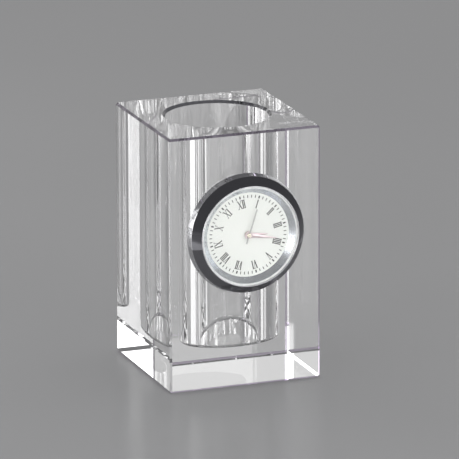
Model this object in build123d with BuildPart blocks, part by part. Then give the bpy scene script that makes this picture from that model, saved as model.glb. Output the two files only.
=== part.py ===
from build123d import *
import math
import os

# Pen holder clock: a glass block with a pen well and a quartz clock pushed into its front face.
# Origin at the centre of the block's base, +Z up, the dial faces -Y. Millimetres and degrees.
# Heights inside the clock are measured from the front face of the glass, positive to the viewer.

# Glass block
block_width = 60.0
block_depth = 60.0
block_height = 98.0
block_edge_chamfer = 0.8
pen_well_floor_height = 13.4
pen_well_rim_chamfer = 1.0
pen_well_floor_fillet = 1.3
clock_height = 59.5
dial_turn = 12.4
recess_radius = 20.4
recess_depth = 7.5
recess_wall = 3.0

# Fits and small clearances
running_fit = 0.05
seating_fit = 0.05
pivot_depth = 0.5

# Bezel and lens
bezel_base_radius = 23.1
bezel_shoulder_radius = 22.4
bezel_shoulder_height = 2.55
bezel_height = 5.75
bezel_rim_width = 0.25
bezel_ledge_width = 0.7
bezel_ledge_thickness = 0.4
bezel_bore_radius = 20.1
lens_radius = 18.95
lens_thickness = 0.8
lens_recess = 0.05
gasket_thickness = 0.2

# Dial
dial_front = 2.5
dial_thickness = 0.4
dial_visible_radius = 16.2
dial_hole_radius = 1.3
dial_foot_radius = 0.4
dial_foot_length = 0.7
dial_foot_circle = 12.5
dial_foot_angles = (125, 305)
print_thickness = 0.06
numeral_inner_radius = 10.4
numeral_height = 3.3
thick_stroke = 0.36
thin_stroke = 0.16
upright_advance = 0.62
vee_advance = 1.55
cross_advance = 1.9
tick_count = 60
bold_tick_count = 12
tick_outer_radius = 15.3
tick_length = 1.05
tick_width = 0.28
bold_tick_width = 0.5

# Hands, with their angles clockwise from twelve
hour_angle = 104.5
minute_angle = 113.3
second_angle = 30.6
hand_boss_radius = 1.45
hand_thickness = 0.15
hour_hand_height = 3.0
hour_hand_length = 7.7
hour_hand_width = 1.9
minute_hand_height = 3.35
minute_hand_length = 11.2
minute_hand_width = 2.05
hand_tip_width = 0.2
second_hand_height = 3.7
second_hand_length = 10.3
second_hand_tail = 3.4
second_hand_width = 0.55
hub_cap_radius = 0.85
hub_cap_height = 0.4

# Case
case_radius = 19.6
case_wall = 1.0
case_rim_radius = 20.05
case_back = -6.6
cover_thickness = 0.8
cover_back = -6.1
bead_height = 0.15
bead_width = 0.3
grip_ring_front = -1.2
grip_ring_back = -5.2
grip_ring_thickness = 0.35
grip_rib_radius = 0.3
grip_rib_count = 36

# Movement plates
plate_thickness = 1.0
bridge_thickness = 0.8
bridge_radius = 15.0
holder_wall = 0.9
pillar_radius = 1.2
pillar_circle = 12.0
pillar_angles = (110, 235, 290)

# Wheels and pinions, which lie in layers from the main plate back to the bridge
layer_count = 6
layer_thickness = 0.4
layer_gap = 0.2
arbor_radius = 0.25
seconds_arbor_radius = 0.22
pipe_wall = 0.2
cannon_pipe_wall = 0.25
wheel_tip_share = 0.95
wheel_root_share = 1.15
wheel_tooth_share = 0.44
leaf_tip_share = 0.75
leaf_root_share = 1.3
leaf_tooth_share = 0.34
tooth_shoulder_share = 0.55
tooth_shoulder_width_share = 0.66
tooth_crest_width_share = 0.12

motion_module = 0.21
hour_wheel_teeth = 40
minute_pinion_teeth = 10
minute_wheel_teeth = 36
cannon_pinion_teeth = 12
setting_pinion_teeth = 12
motion_direction = 60

centre_module = 0.14
centre_wheel_teeth = 64
third_pinion_teeth = 8
third_wheel_teeth = 60
seconds_pinion_teeth = 8
third_direction = -60

seconds_module = 0.22
seconds_wheel_teeth = 40
intermediate_pinion_teeth = 8
intermediate_direction = 0

rotor_module = 0.18
intermediate_wheel_teeth = 42
rotor_pinion_teeth = 7
rotor_direction = 0

# Stepping motor
magnet_radius = 1.2
magnet_overhang = 0.2
stator_gap = 0.3
stator_thickness = 0.6
stator_front = -0.3
stator_ring_radius = 2.6
stator_arm_width = 2.0
coil_x = 14.0
coil_end_y = 6.3
core_width = 1.6
core_thickness = 0.8
coil_radius = 1.3
coil_length = 9.0

# Electronics
board_left = -3.2
board_right = 12.5
board_half_height = 8.0
board_thickness = 0.4
board_screw_places = ((11.0, -6.4), (-1.7, 6.6))
chip_radius = 2.2
chip_height = 0.8
chip_place = (4.5, -3.8)
crystal_radius = 0.6
crystal_length = 4.7
crystal_place = (6.4, 3.2)

# Battery and its contacts
battery_radius = 5.8
battery_thickness = 5.4
battery_cap_radius = 4.0
battery_cap_height = 0.3
battery_distance = 10.6
battery_direction = 180
battery_play = 0.1
cup_wall = 0.5
cup_play = 0.3
contact_thickness = 0.15
contact_width = 2.0
contact_reach = 4.0
positive_contact_height = 0.8
positive_contact_half_angle = 35
contact_tab_length = 2.4

# Battery hatch
hatch_radius = 6.0
hatch_lug_radius = 6.8
hatch_lug_angle = 24
hatch_lug_count = 3
hatch_neck_width = 0.15
hatch_neck_height = 0.5
hatch_lug_thickness = 0.35
hatch_turn = 40
hatch_notch_play = 2
coin_slot_length = 7.0
coin_slot_width = 0.9
coin_slot_depth = 0.4

# Setting knob
knob_radius = 2.6
knob_thickness = 0.9
knob_gap = 0.15
knob_scallop_radius = 0.3
knob_scallop_count = 24

# Screws
screw_head_radius = 0.9
screw_head_height = 0.45
screw_shank_radius = 0.4
screw_length = 2.0
screw_slot_width = 0.25
screw_slot_depth = 0.2

# Worked out sizes
glass_front = -block_depth / 2
pen_well_radius = block_depth / 2 - recess_depth - recess_wall
bezel_opening_radius = lens_radius + seating_fit
ledge_radius = bezel_opening_radius - bezel_ledge_width
lens_front = bezel_height - lens_recess
lens_back = lens_front - lens_thickness
ledge_front = lens_back - gasket_thickness
ledge_back = ledge_front - bezel_ledge_thickness
case_bore_radius = case_radius - case_wall
inner_radius = case_bore_radius - 2 * seating_fit
dial_back = dial_front - dial_thickness
plate_front = dial_back
plate_back = plate_front - plate_thickness
cover_front = cover_back + cover_thickness
bridge_front = plate_back - layer_count * (layer_gap + layer_thickness) - layer_gap
bridge_back = bridge_front - bridge_thickness
board_back = bridge_back - board_thickness
stator_back = stator_front - stator_thickness
core_back = stator_back - core_thickness
battery_back = cover_front + battery_play
battery_front = battery_back + battery_thickness
arbor_front = plate_back + pivot_depth
arbor_back = bridge_front - pivot_depth
pivot_hole_radius = arbor_radius + running_fit
knob_front = cover_back - knob_gap
knob_back = knob_front - knob_thickness
neck_radius = hatch_radius - hatch_neck_width
cup_radius = battery_radius + cup_play

# Pipes on the centre line, each running on the one inside it
wheel_pipe_inner = seconds_arbor_radius + running_fit
wheel_pipe_outer = wheel_pipe_inner + pipe_wall
cannon_pipe_inner = wheel_pipe_outer + running_fit
cannon_pipe_outer = cannon_pipe_inner + cannon_pipe_wall
hour_pipe_inner = cannon_pipe_outer + running_fit
hour_pipe_outer = hour_pipe_inner + cannon_pipe_wall

# Wheel centres, in the dial's own directions, and the modules that follow from them
motion_distance = motion_module * (hour_wheel_teeth + minute_pinion_teeth) / 2
cannon_module = 2 * motion_distance / (minute_wheel_teeth + cannon_pinion_teeth)
setting_distance = cannon_module * (minute_wheel_teeth + setting_pinion_teeth) / 2
third_distance = centre_module * (centre_wheel_teeth + third_pinion_teeth) / 2
third_module = 2 * third_distance / (third_wheel_teeth + seconds_pinion_teeth)
intermediate_distance = seconds_module * (seconds_wheel_teeth + intermediate_pinion_teeth) / 2
rotor_distance = rotor_module * (intermediate_wheel_teeth + rotor_pinion_teeth) / 2


def from_place(start, distance, direction):
    """The place at a distance and a direction, in degrees, from another place."""
    angle = math.radians(direction)
    return (start[0] + distance * math.cos(angle), start[1] + distance * math.sin(angle))


clock_centre = (0, 0)
minute_wheel_place = from_place(clock_centre, motion_distance, motion_direction)
setting_place = from_place(minute_wheel_place, setting_distance, motion_direction)
third_place = from_place(clock_centre, third_distance, third_direction)
intermediate_place = from_place(clock_centre, intermediate_distance, intermediate_direction)
rotor_place = from_place(intermediate_place, rotor_distance, rotor_direction)
battery_place = from_place(clock_centre, battery_distance, battery_direction)
pillar_places = [from_place(clock_centre, pillar_circle, angle) for angle in pillar_angles]
foot_places = [from_place(clock_centre, dial_foot_circle, angle) for angle in dial_foot_angles]
coil_ends = [(coil_x, side * coil_end_y) for side in (-1, 1)]
side_arbor_places = [minute_wheel_place, third_place, intermediate_place, rotor_place]


def face_plane(height, turn=0):
    """A plane parallel to the dial, facing the viewer, at a height above the glass face."""
    angle = math.radians(dial_turn - turn)
    return Plane(
        origin=(0, glass_front - height, clock_height),
        x_dir=(math.cos(angle), 0, math.sin(angle)),
        z_dir=(0, -1, 0),
    )


def section_plane():
    """The plane through the clock's axis for turned profiles: x is the radius, y the height."""
    angle = math.radians(dial_turn)
    return Plane(
        origin=(0, glass_front, clock_height),
        x_dir=(math.cos(angle), 0, math.sin(angle)),
        z_dir=(math.sin(angle), 0, -math.cos(angle)),
    )


clock_axis = Axis((0, glass_front, clock_height), (0, -1, 0))


def layer(number):
    """Back and front heights of one layer of wheels, counted back from the main plate."""
    front = plate_back - layer_gap - number * (layer_thickness + layer_gap)
    return front - layer_thickness, front


def round_bar(place, radius, back, front):
    """A plain round bar parallel to the clock's axis."""
    with BuildPart() as bar:
        with BuildSketch(face_plane(back)):
            with Locations(place):
                Circle(radius)
        extrude(amount=front - back)
    return bar.part


def tube(place, outer_radius, inner_radius, back, front):
    """A round tube parallel to the clock's axis."""
    with BuildPart() as pipe:
        with BuildSketch(face_plane(back)):
            with Locations(place):
                Circle(outer_radius)
                Circle(inner_radius, mode=Mode.SUBTRACT)
        extrude(amount=front - back)
    return pipe.part


def turned_ring(outline):
    """A solid of revolution about the clock's axis from (radius, height) corners."""
    with BuildPart() as ring:
        with BuildSketch(section_plane()):
            Polygon(*outline, align=None)
        revolve(axis=clock_axis, revolution_arc=360)
    return ring.part


def toothed_outline(teeth, module, tip_share, root_share, tooth_share, first_tooth):
    """Corners of a toothed wheel: radial flanks up to the pitch circle, then rounded tips."""
    pitch_radius = module * teeth / 2
    root_radius = pitch_radius - root_share * module
    tip_radius = pitch_radius + tip_share * module
    shoulder_radius = pitch_radius + tooth_shoulder_share * tip_share * module
    half_tooth = tooth_share * 180 / teeth
    half_shoulder = half_tooth * tooth_shoulder_width_share
    half_crest = half_tooth * tooth_crest_width_share
    rising = ((root_radius, half_tooth), (pitch_radius, half_tooth), (shoulder_radius, half_shoulder))
    flank = rising + ((tip_radius, half_crest),)
    corners = []
    for tooth in range(teeth):
        middle = first_tooth + tooth * 360 / teeth
        corners += [from_place(clock_centre, radius, middle - half) for radius, half in flank]
        corners += [from_place(clock_centre, radius, middle + half) for radius, half in reversed(flank)]
    return corners


def wheel_disc(place, teeth, module, first_tooth, level, bore_radius=0):
    """A toothed wheel with full teeth, in one layer."""
    back, front = layer(level)
    outline = toothed_outline(
        teeth, module, wheel_tip_share, wheel_root_share, wheel_tooth_share, first_tooth
    )
    return toothed_disc(place, outline, back, front, bore_radius)


def pinion_disc(place, teeth, module, first_tooth, level, bore_radius=0):
    """A pinion, with thinner leaves than a wheel's teeth, in one layer."""
    back, front = layer(level)
    outline = toothed_outline(
        teeth, module, leaf_tip_share, leaf_root_share, leaf_tooth_share, first_tooth
    )
    return toothed_disc(place, outline, back, front, bore_radius)


def toothed_disc(place, outline, back, front, bore_radius):
    """A toothed outline made solid between two heights, with an optional bore."""
    with BuildPart() as disc:
        with BuildSketch(face_plane(back)):
            with Locations(place):
                Polygon(*outline, align=None)
                if bore_radius:
                    Circle(bore_radius, mode=Mode.SUBTRACT)
        extrude(amount=front - back)
    return disc.part


def gap_facing(direction, teeth):
    """Angle of a tooth on a gear whose gap faces a direction."""
    return direction + 180 / teeth


def finish(builder, name):
    """Labels one piece and writes its STEP file."""
    builder.part.label = name
    export_step(builder.part, f"parts/{name}.step")


os.makedirs("parts", exist_ok=True)

# Glass block with its pen well and the clock's recess
with BuildPart() as glass_block:
    with BuildSketch(Plane.XY):
        Rectangle(block_width, block_depth)
    extrude(amount=block_height)
    chamfer(glass_block.edges(), block_edge_chamfer)
    with BuildSketch(Plane.XY.offset(pen_well_floor_height)):
        Circle(pen_well_radius)
    extrude(amount=block_height - pen_well_floor_height, mode=Mode.SUBTRACT)
    well_edges = glass_block.edges().filter_by(GeomType.CIRCLE).sort_by(Axis.Z)
    fillet(well_edges[0], pen_well_floor_fillet)
    rim_edge = glass_block.edges().filter_by(GeomType.CIRCLE).sort_by(Axis.Z)[-1]
    chamfer(rim_edge, pen_well_rim_chamfer)
    with BuildSketch(face_plane(-recess_depth)):
        Circle(recess_radius)
    extrude(amount=recess_depth, mode=Mode.SUBTRACT)
finish(glass_block, "glass_block")

# Bezel: a tapered foot on the glass, a polished cone and a seat for the lens
with BuildPart() as bezel:
    add(
        turned_ring(
            [
                (bezel_bore_radius, 0),
                (bezel_base_radius, 0),
                (bezel_shoulder_radius, bezel_shoulder_height),
                (bezel_opening_radius + bezel_rim_width, bezel_height),
                (bezel_opening_radius, bezel_height),
                (bezel_opening_radius, ledge_front),
                (ledge_radius, ledge_front),
                (ledge_radius, ledge_back),
                (bezel_bore_radius, ledge_back),
            ]
        )
    )
finish(bezel, "bezel")

with BuildPart() as lens_gasket:
    add(tube(clock_centre, lens_radius, ledge_radius, ledge_front, lens_back))
finish(lens_gasket, "lens_gasket")

with BuildPart() as lens:
    add(round_bar(clock_centre, lens_radius, lens_back, lens_front))
finish(lens, "lens")

# Silver ring from the dial's edge up to the lens seat
with BuildPart() as dial_ring:
    add(
        turned_ring(
            [
                (dial_visible_radius, dial_front),
                (case_rim_radius, dial_front),
                (case_rim_radius, ledge_back),
                (ledge_radius, ledge_back),
            ]
        )
    )
finish(dial_ring, "dial_ring")

# Dial with two feet that locate it on the main plate
with BuildPart() as dial:
    add(tube(clock_centre, inner_radius, dial_hole_radius, dial_back, dial_front))
    for foot_place in foot_places:
        add(round_bar(foot_place, dial_foot_radius, dial_back - dial_foot_length, dial_back))
finish(dial, "dial")


def upright_stroke(left):
    """One upright letter: a thick stroke between two serif bars."""
    middle = left + upright_advance / 2
    with Locations((middle, numeral_height / 2)):
        Rectangle(thick_stroke, numeral_height)
    for bar_middle in (thin_stroke / 2, numeral_height - thin_stroke / 2):
        with Locations((middle, bar_middle)):
            Rectangle(upright_advance, thin_stroke)


def slanted_stroke(bottom, top, width):
    """A slanted stroke between two places on the letter's base and top lines."""
    corners = [
        (bottom - width / 2, 0),
        (bottom + width / 2, 0),
        (top + width / 2, numeral_height),
        (top - width / 2, numeral_height),
    ]
    Polygon(*corners, align=None)


def serif(middle, height):
    """A short serif bar on the end of a slanted stroke."""
    with Locations((middle, height)):
        Rectangle(upright_advance, thin_stroke)


def vee_stroke(left):
    """A thick left arm and a thin right arm that meet at the base."""
    middle = left + vee_advance / 2
    left_top = left + upright_advance / 2
    right_top = left + vee_advance - upright_advance / 2
    slanted_stroke(middle, left_top, thick_stroke)
    slanted_stroke(middle, right_top, thin_stroke)
    serif(left_top, numeral_height - thin_stroke / 2)
    serif(right_top, numeral_height - thin_stroke / 2)


def cross_stroke(left):
    """A thick and a thin stroke that cross."""
    left_end = left + upright_advance / 2
    right_end = left + cross_advance - upright_advance / 2
    slanted_stroke(right_end, left_end, thick_stroke)
    slanted_stroke(left_end, right_end, thin_stroke)
    for end in (left_end, right_end):
        serif(end, thin_stroke / 2)
        serif(end, numeral_height - thin_stroke / 2)


letter_advances = {"I": upright_advance, "V": vee_advance, "X": cross_advance}
letter_strokes = {"I": upright_stroke, "V": vee_stroke, "X": cross_stroke}
roman_hours = ("XII", "I", "II", "III", "IIII", "V", "VI", "VII", "VIII", "IX", "X", "XI")

# Printed numerals, one solid each, upright towards the rim
with BuildPart() as hour_numerals:
    for hour, letters in enumerate(roman_hours):
        hour_plane = face_plane(dial_front, hour * 360 / len(roman_hours))
        numeral_plane = Plane(
            origin=hour_plane.from_local_coords((0, numeral_inner_radius, 0)),
            x_dir=hour_plane.x_dir,
            z_dir=hour_plane.z_dir,
        )
        letter_left = -sum(letter_advances[letter] for letter in letters) / 2
        with BuildSketch(numeral_plane):
            for letter in letters:
                letter_strokes[letter](letter_left)
                letter_left += letter_advances[letter]
        extrude(amount=print_thickness)
finish(hour_numerals, "hour_numerals")

# Printed ticks, bolder every five minutes
with BuildPart() as minute_track:
    with BuildSketch(face_plane(dial_front)):
        with PolarLocations(tick_outer_radius - tick_length / 2, tick_count):
            Rectangle(tick_length, tick_width)
        with PolarLocations(tick_outer_radius - tick_length / 2, bold_tick_count):
            Rectangle(tick_length, bold_tick_width)
    extrude(amount=print_thickness)
finish(minute_track, "minute_track")


def tapered_outline(length, width):
    """A hand that tapers from the boss to a narrow tip, drawn towards twelve."""
    return [
        (-width / 2, 0),
        (width / 2, 0),
        (hand_tip_width / 2, length),
        (-hand_tip_width / 2, length),
    ]


# Hour hand on the hour wheel's pipe
with BuildPart() as hour_hand:
    with BuildSketch(face_plane(hour_hand_height, hour_angle)):
        Polygon(*tapered_outline(hour_hand_length, hour_hand_width), align=None)
        Circle(hand_boss_radius)
        Circle(hour_pipe_outer, mode=Mode.SUBTRACT)
    extrude(amount=hand_thickness)
finish(hour_hand, "hour_hand")

# Minute hand on the cannon pinion's pipe
with BuildPart() as minute_hand:
    with BuildSketch(face_plane(minute_hand_height, minute_angle)):
        Polygon(*tapered_outline(minute_hand_length, minute_hand_width), align=None)
        Circle(hand_boss_radius)
        Circle(cannon_pipe_outer, mode=Mode.SUBTRACT)
    extrude(amount=hand_thickness)
finish(minute_hand, "minute_hand")

# Second hand, a plain bar with a tail, on the seconds arbor
with BuildPart() as second_hand:
    with BuildSketch(face_plane(second_hand_height, second_angle)):
        with Locations((0, (second_hand_length - second_hand_tail) / 2)):
            Rectangle(second_hand_width, second_hand_length + second_hand_tail)
        Circle(hub_cap_radius)
        Circle(seconds_arbor_radius, mode=Mode.SUBTRACT)
    extrude(amount=hand_thickness)
finish(second_hand, "second_hand")

second_hand_front = second_hand_height + hand_thickness
hub_cap_front = second_hand_front + hub_cap_height

# Domed cap over the end of the seconds arbor
with BuildPart() as hub_cap:
    add(round_bar(clock_centre, hub_cap_radius, second_hand_front, hub_cap_front))
    front_edge = hub_cap.edges().filter_by(GeomType.CIRCLE).sort_by(Axis.Y)[0]
    fillet(front_edge, hub_cap_height / 2)
finish(hub_cap, "hub_cap")

# Case tube with a front rim inside the bezel and a groove for the back cover
groove_middle = cover_back + cover_thickness / 2
groove_radius = case_bore_radius + bead_height
with BuildPart() as insert_case:
    add(
        turned_ring(
            [
                (case_bore_radius, dial_front),
                (case_rim_radius, dial_front),
                (case_rim_radius, 0),
                (case_radius, 0),
                (case_radius, case_back),
                (case_bore_radius, case_back),
                (case_bore_radius, groove_middle - bead_width),
                (groove_radius, groove_middle),
                (case_bore_radius, groove_middle + bead_width),
            ]
        )
    )
finish(insert_case, "insert_case")

# Ribbed rubber band that grips the glass, in which the case can be turned
grip_inner_radius = case_radius + running_fit
grip_outer_radius = grip_inner_radius + grip_ring_thickness
with BuildPart() as grip_ring:
    with BuildSketch(face_plane(grip_ring_back)):
        Circle(grip_outer_radius)
        with PolarLocations(grip_outer_radius, grip_rib_count):
            Circle(grip_rib_radius)
        Circle(grip_inner_radius, mode=Mode.SUBTRACT)
    extrude(amount=grip_ring_front - grip_ring_back)
finish(grip_ring, "grip_ring")

# Plastic ring between the main plate and the back cover
with BuildPart() as movement_holder:
    add(tube(clock_centre, inner_radius, inner_radius - holder_wall, cover_front, plate_back))
finish(movement_holder, "movement_holder")

# Main plate with pillars for the bridge and the coil, pivot holes and a battery cup
cup_back = bridge_front + layer_gap
train_clearance_radius = motion_distance
with BuildPart() as main_plate:
    add(round_bar(clock_centre, inner_radius, plate_back, plate_front))
    add(tube(battery_place, cup_radius + cup_wall, cup_radius, cup_back, plate_back))
    add(round_bar(clock_centre, train_clearance_radius, cup_back, plate_back), mode=Mode.SUBTRACT)
    for pillar_place in pillar_places:
        add(round_bar(pillar_place, pillar_radius, bridge_front, plate_back))
        screw_hole_front = bridge_back + screw_length
        add(
            round_bar(pillar_place, screw_shank_radius, bridge_front, screw_hole_front),
            mode=Mode.SUBTRACT,
        )
    for coil_end in coil_ends:
        add(round_bar(coil_end, pillar_radius, stator_front, plate_back))
        add(
            round_bar(coil_end, screw_shank_radius, stator_front, core_back + screw_length),
            mode=Mode.SUBTRACT,
        )
    for arbor_place in side_arbor_places + [setting_place]:
        add(round_bar(arbor_place, pivot_hole_radius, plate_back, arbor_front), mode=Mode.SUBTRACT)
    for foot_place in foot_places:
        foot_hole_back = plate_front - dial_foot_length
        foot_hole_radius = dial_foot_radius + seating_fit
        add(round_bar(foot_place, foot_hole_radius, foot_hole_back, plate_front), mode=Mode.SUBTRACT)
    centre_hole_radius = hour_pipe_outer + running_fit
    add(round_bar(clock_centre, centre_hole_radius, plate_back, plate_front), mode=Mode.SUBTRACT)
finish(main_plate, "main_plate")

# Bridge that carries the rear pivots
stem_hole_radius = arbor_radius + running_fit
with BuildPart() as train_bridge:
    with BuildSketch(face_plane(bridge_back)):
        Circle(bridge_radius)
        with Locations(battery_place):
            Circle(cup_radius, mode=Mode.SUBTRACT)
        with Locations(*pillar_places, *board_screw_places):
            Circle(screw_shank_radius, mode=Mode.SUBTRACT)
        with Locations(setting_place):
            Circle(stem_hole_radius, mode=Mode.SUBTRACT)
    extrude(amount=bridge_thickness)
    for arbor_place in side_arbor_places:
        add(round_bar(arbor_place, pivot_hole_radius, arbor_back, bridge_front), mode=Mode.SUBTRACT)
    seconds_hole_radius = seconds_arbor_radius + running_fit
    add(
        round_bar(clock_centre, seconds_hole_radius, arbor_back, bridge_front),
        mode=Mode.SUBTRACT,
    )
finish(train_bridge, "train_bridge")

# Motion work: the hour wheel and its pipe
motion_facing = motion_direction + 180
with BuildPart() as hour_wheel:
    _, hour_wheel_front = layer(0)
    add(
        wheel_disc(
            clock_centre, hour_wheel_teeth, motion_module, motion_direction, 0, hour_pipe_inner
        )
    )
    hour_pipe_front = hour_hand_height + hand_thickness
    add(tube(clock_centre, hour_pipe_outer, hour_pipe_inner, hour_wheel_front, hour_pipe_front))
finish(hour_wheel, "hour_wheel")

# Cannon pinion, whose pipe carries the minute hand
with BuildPart() as cannon_pinion:
    _, cannon_front = layer(1)
    add(
        pinion_disc(
            clock_centre,
            cannon_pinion_teeth,
            cannon_module,
            gap_facing(motion_direction, cannon_pinion_teeth),
            1,
            cannon_pipe_inner,
        )
    )
    cannon_pipe_front = minute_hand_height + hand_thickness
    add(tube(clock_centre, cannon_pipe_outer, cannon_pipe_inner, cannon_front, cannon_pipe_front))
finish(cannon_pinion, "cannon_pinion")

# Minute wheel and pinion between the two
with BuildPart() as minute_wheel:
    add(round_bar(minute_wheel_place, arbor_radius, arbor_back, arbor_front))
    add(wheel_disc(minute_wheel_place, minute_wheel_teeth, cannon_module, motion_facing, 1))
    add(
        pinion_disc(
            minute_wheel_place,
            minute_pinion_teeth,
            motion_module,
            gap_facing(motion_facing, minute_pinion_teeth),
            0,
        )
    )
finish(minute_wheel, "minute_wheel")

# Setting arbor that reaches back through the bridge and the cover to the knob
with BuildPart() as setting_arbor:
    add(round_bar(setting_place, arbor_radius, knob_back + knob_thickness / 2, arbor_front))
    add(
        pinion_disc(
            setting_place,
            setting_pinion_teeth,
            cannon_module,
            gap_facing(motion_facing, setting_pinion_teeth),
            1,
        )
    )
finish(setting_arbor, "setting_arbor")

# Going train: the centre wheel with the pipe that the cannon pinion slips on
with BuildPart() as centre_wheel:
    _, centre_front = layer(2)
    add(
        wheel_disc(
            clock_centre, centre_wheel_teeth, centre_module, third_direction, 2, wheel_pipe_inner
        )
    )
    add(tube(clock_centre, wheel_pipe_outer, wheel_pipe_inner, centre_front, plate_front))
finish(centre_wheel, "centre_wheel")

# Third wheel and pinion
third_facing = third_direction + 180
with BuildPart() as third_wheel:
    add(round_bar(third_place, arbor_radius, arbor_back, arbor_front))
    add(
        pinion_disc(
            third_place,
            third_pinion_teeth,
            centre_module,
            gap_facing(third_facing, third_pinion_teeth),
            2,
        )
    )
    add(wheel_disc(third_place, third_wheel_teeth, third_module, third_facing, 3))
finish(third_wheel, "third_wheel")

# Seconds wheel and pinion, on the arbor that carries the second hand
with BuildPart() as seconds_wheel:
    add(round_bar(clock_centre, seconds_arbor_radius, arbor_back, second_hand_front))
    add(
        pinion_disc(
            clock_centre,
            seconds_pinion_teeth,
            third_module,
            gap_facing(third_direction, seconds_pinion_teeth),
            3,
        )
    )
    add(wheel_disc(clock_centre, seconds_wheel_teeth, seconds_module, intermediate_direction, 4))
finish(seconds_wheel, "seconds_wheel")

# Intermediate wheel and pinion
intermediate_facing = intermediate_direction + 180
with BuildPart() as intermediate_wheel:
    add(round_bar(intermediate_place, arbor_radius, arbor_back, arbor_front))
    add(
        pinion_disc(
            intermediate_place,
            intermediate_pinion_teeth,
            seconds_module,
            gap_facing(intermediate_facing, intermediate_pinion_teeth),
            4,
        )
    )
    add(wheel_disc(intermediate_place, intermediate_wheel_teeth, rotor_module, rotor_direction, 5))
finish(intermediate_wheel, "intermediate_wheel")

# Stepping motor: arbor with pinion, magnet, stator plate, core and winding
with BuildPart() as rotor_arbor:
    add(round_bar(rotor_place, arbor_radius, arbor_back, arbor_front))
    add(
        pinion_disc(
            rotor_place,
            rotor_pinion_teeth,
            rotor_module,
            gap_facing(rotor_direction + 180, rotor_pinion_teeth),
            5,
        )
    )
finish(rotor_arbor, "rotor_arbor")

with BuildPart() as rotor_magnet:
    magnet_back = stator_back - magnet_overhang
    magnet_front = stator_front + magnet_overhang
    add(tube(rotor_place, magnet_radius, arbor_radius, magnet_back, magnet_front))
finish(rotor_magnet, "rotor_magnet")

with BuildPart() as stator:
    with BuildSketch(face_plane(stator_back)):
        with Locations(rotor_place):
            Circle(stator_ring_radius)
        with Locations(rotor_place):
            Rectangle(stator_arm_width, 2 * coil_end_y + stator_arm_width)
        cross_arm_middle = (rotor_place[0] + coil_x) / 2
        with Locations((cross_arm_middle, -coil_end_y), (cross_arm_middle, coil_end_y)):
            Rectangle(coil_x - rotor_place[0], stator_arm_width)
        with Locations(*coil_ends):
            Circle(stator_arm_width / 2)
            Circle(screw_shank_radius, mode=Mode.SUBTRACT)
        with Locations(rotor_place):
            Circle(magnet_radius + stator_gap, mode=Mode.SUBTRACT)
    extrude(amount=stator_thickness)
finish(stator, "stator")

with BuildPart() as coil_core:
    with BuildSketch(face_plane(core_back)):
        with Locations((coil_x, 0)):
            Rectangle(core_width, 2 * coil_end_y)
        with Locations(*coil_ends):
            Circle(stator_arm_width / 2)
            Circle(screw_shank_radius, mode=Mode.SUBTRACT)
    extrude(amount=core_thickness)
finish(coil_core, "coil_core")

coil_plane = face_plane(stator_back - core_thickness / 2)
winding_plane = Plane(
    origin=coil_plane.from_local_coords((coil_x, -coil_length / 2, 0)),
    x_dir=coil_plane.x_dir,
    z_dir=coil_plane.y_dir,
)
with BuildPart() as coil_winding:
    with BuildSketch(winding_plane):
        Circle(coil_radius)
        Rectangle(core_width, core_thickness, mode=Mode.SUBTRACT)
    extrude(amount=coil_length)
finish(coil_winding, "coil_winding")

# Circuit board on the back of the bridge, with its chip and crystal
with BuildPart() as circuit_board:
    with BuildSketch(face_plane(board_back)):
        with Locations(((board_left + board_right) / 2, 0)):
            Rectangle(board_right - board_left, 2 * board_half_height)
        with Locations(*board_screw_places):
            Circle(screw_shank_radius, mode=Mode.SUBTRACT)
    extrude(amount=board_thickness)
finish(circuit_board, "circuit_board")

with BuildPart() as control_chip:
    add(round_bar(chip_place, chip_radius, board_back - chip_height, board_back))
    back_edge = control_chip.edges().filter_by(GeomType.CIRCLE).sort_by(Axis.Y)[-1]
    fillet(back_edge, chip_height / 2)
finish(control_chip, "control_chip")

crystal_seat = face_plane(board_back - crystal_radius)
crystal_plane = Plane(
    origin=crystal_seat.from_local_coords((crystal_place[0], crystal_place[1], 0)),
    x_dir=crystal_seat.y_dir,
    z_dir=crystal_seat.x_dir,
)
with BuildPart() as quartz_crystal:
    with BuildSketch(crystal_plane):
        Circle(crystal_radius)
    extrude(amount=crystal_length / 2, both=True)
finish(quartz_crystal, "quartz_crystal")

# Button cell with its small negative cap towards the dial
with BuildPart() as battery:
    can_front = battery_front - battery_cap_height
    add(round_bar(battery_place, battery_radius, battery_back, can_front))
    add(round_bar(battery_place, battery_cap_radius, can_front, battery_front))
finish(battery, "battery")

# Positive contact: an arc along the side of the cell and a tab on the board
arc_inner_radius = battery_radius
arc_outer_radius = arc_inner_radius + contact_thickness
with BuildPart() as positive_contact:
    with BuildSketch(face_plane(board_back - positive_contact_height)):
        with Locations(battery_place):
            Circle(arc_outer_radius)
            Circle(arc_inner_radius, mode=Mode.SUBTRACT)
            sweep_corners = [
                from_place(clock_centre, 2 * arc_outer_radius, side * positive_contact_half_angle)
                for side in (-1, 1)
            ]
            Polygon((0, 0), *sweep_corners, align=None, mode=Mode.INTERSECT)
    extrude(amount=positive_contact_height)
    with BuildSketch(face_plane(board_back - contact_thickness)):
        tab_left = battery_place[0] + arc_inner_radius + contact_thickness / 2
        with Locations((tab_left + contact_tab_length / 2, 0)):
            Rectangle(contact_tab_length, contact_width)
    extrude(amount=contact_thickness)
finish(positive_contact, "positive_contact")

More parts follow.
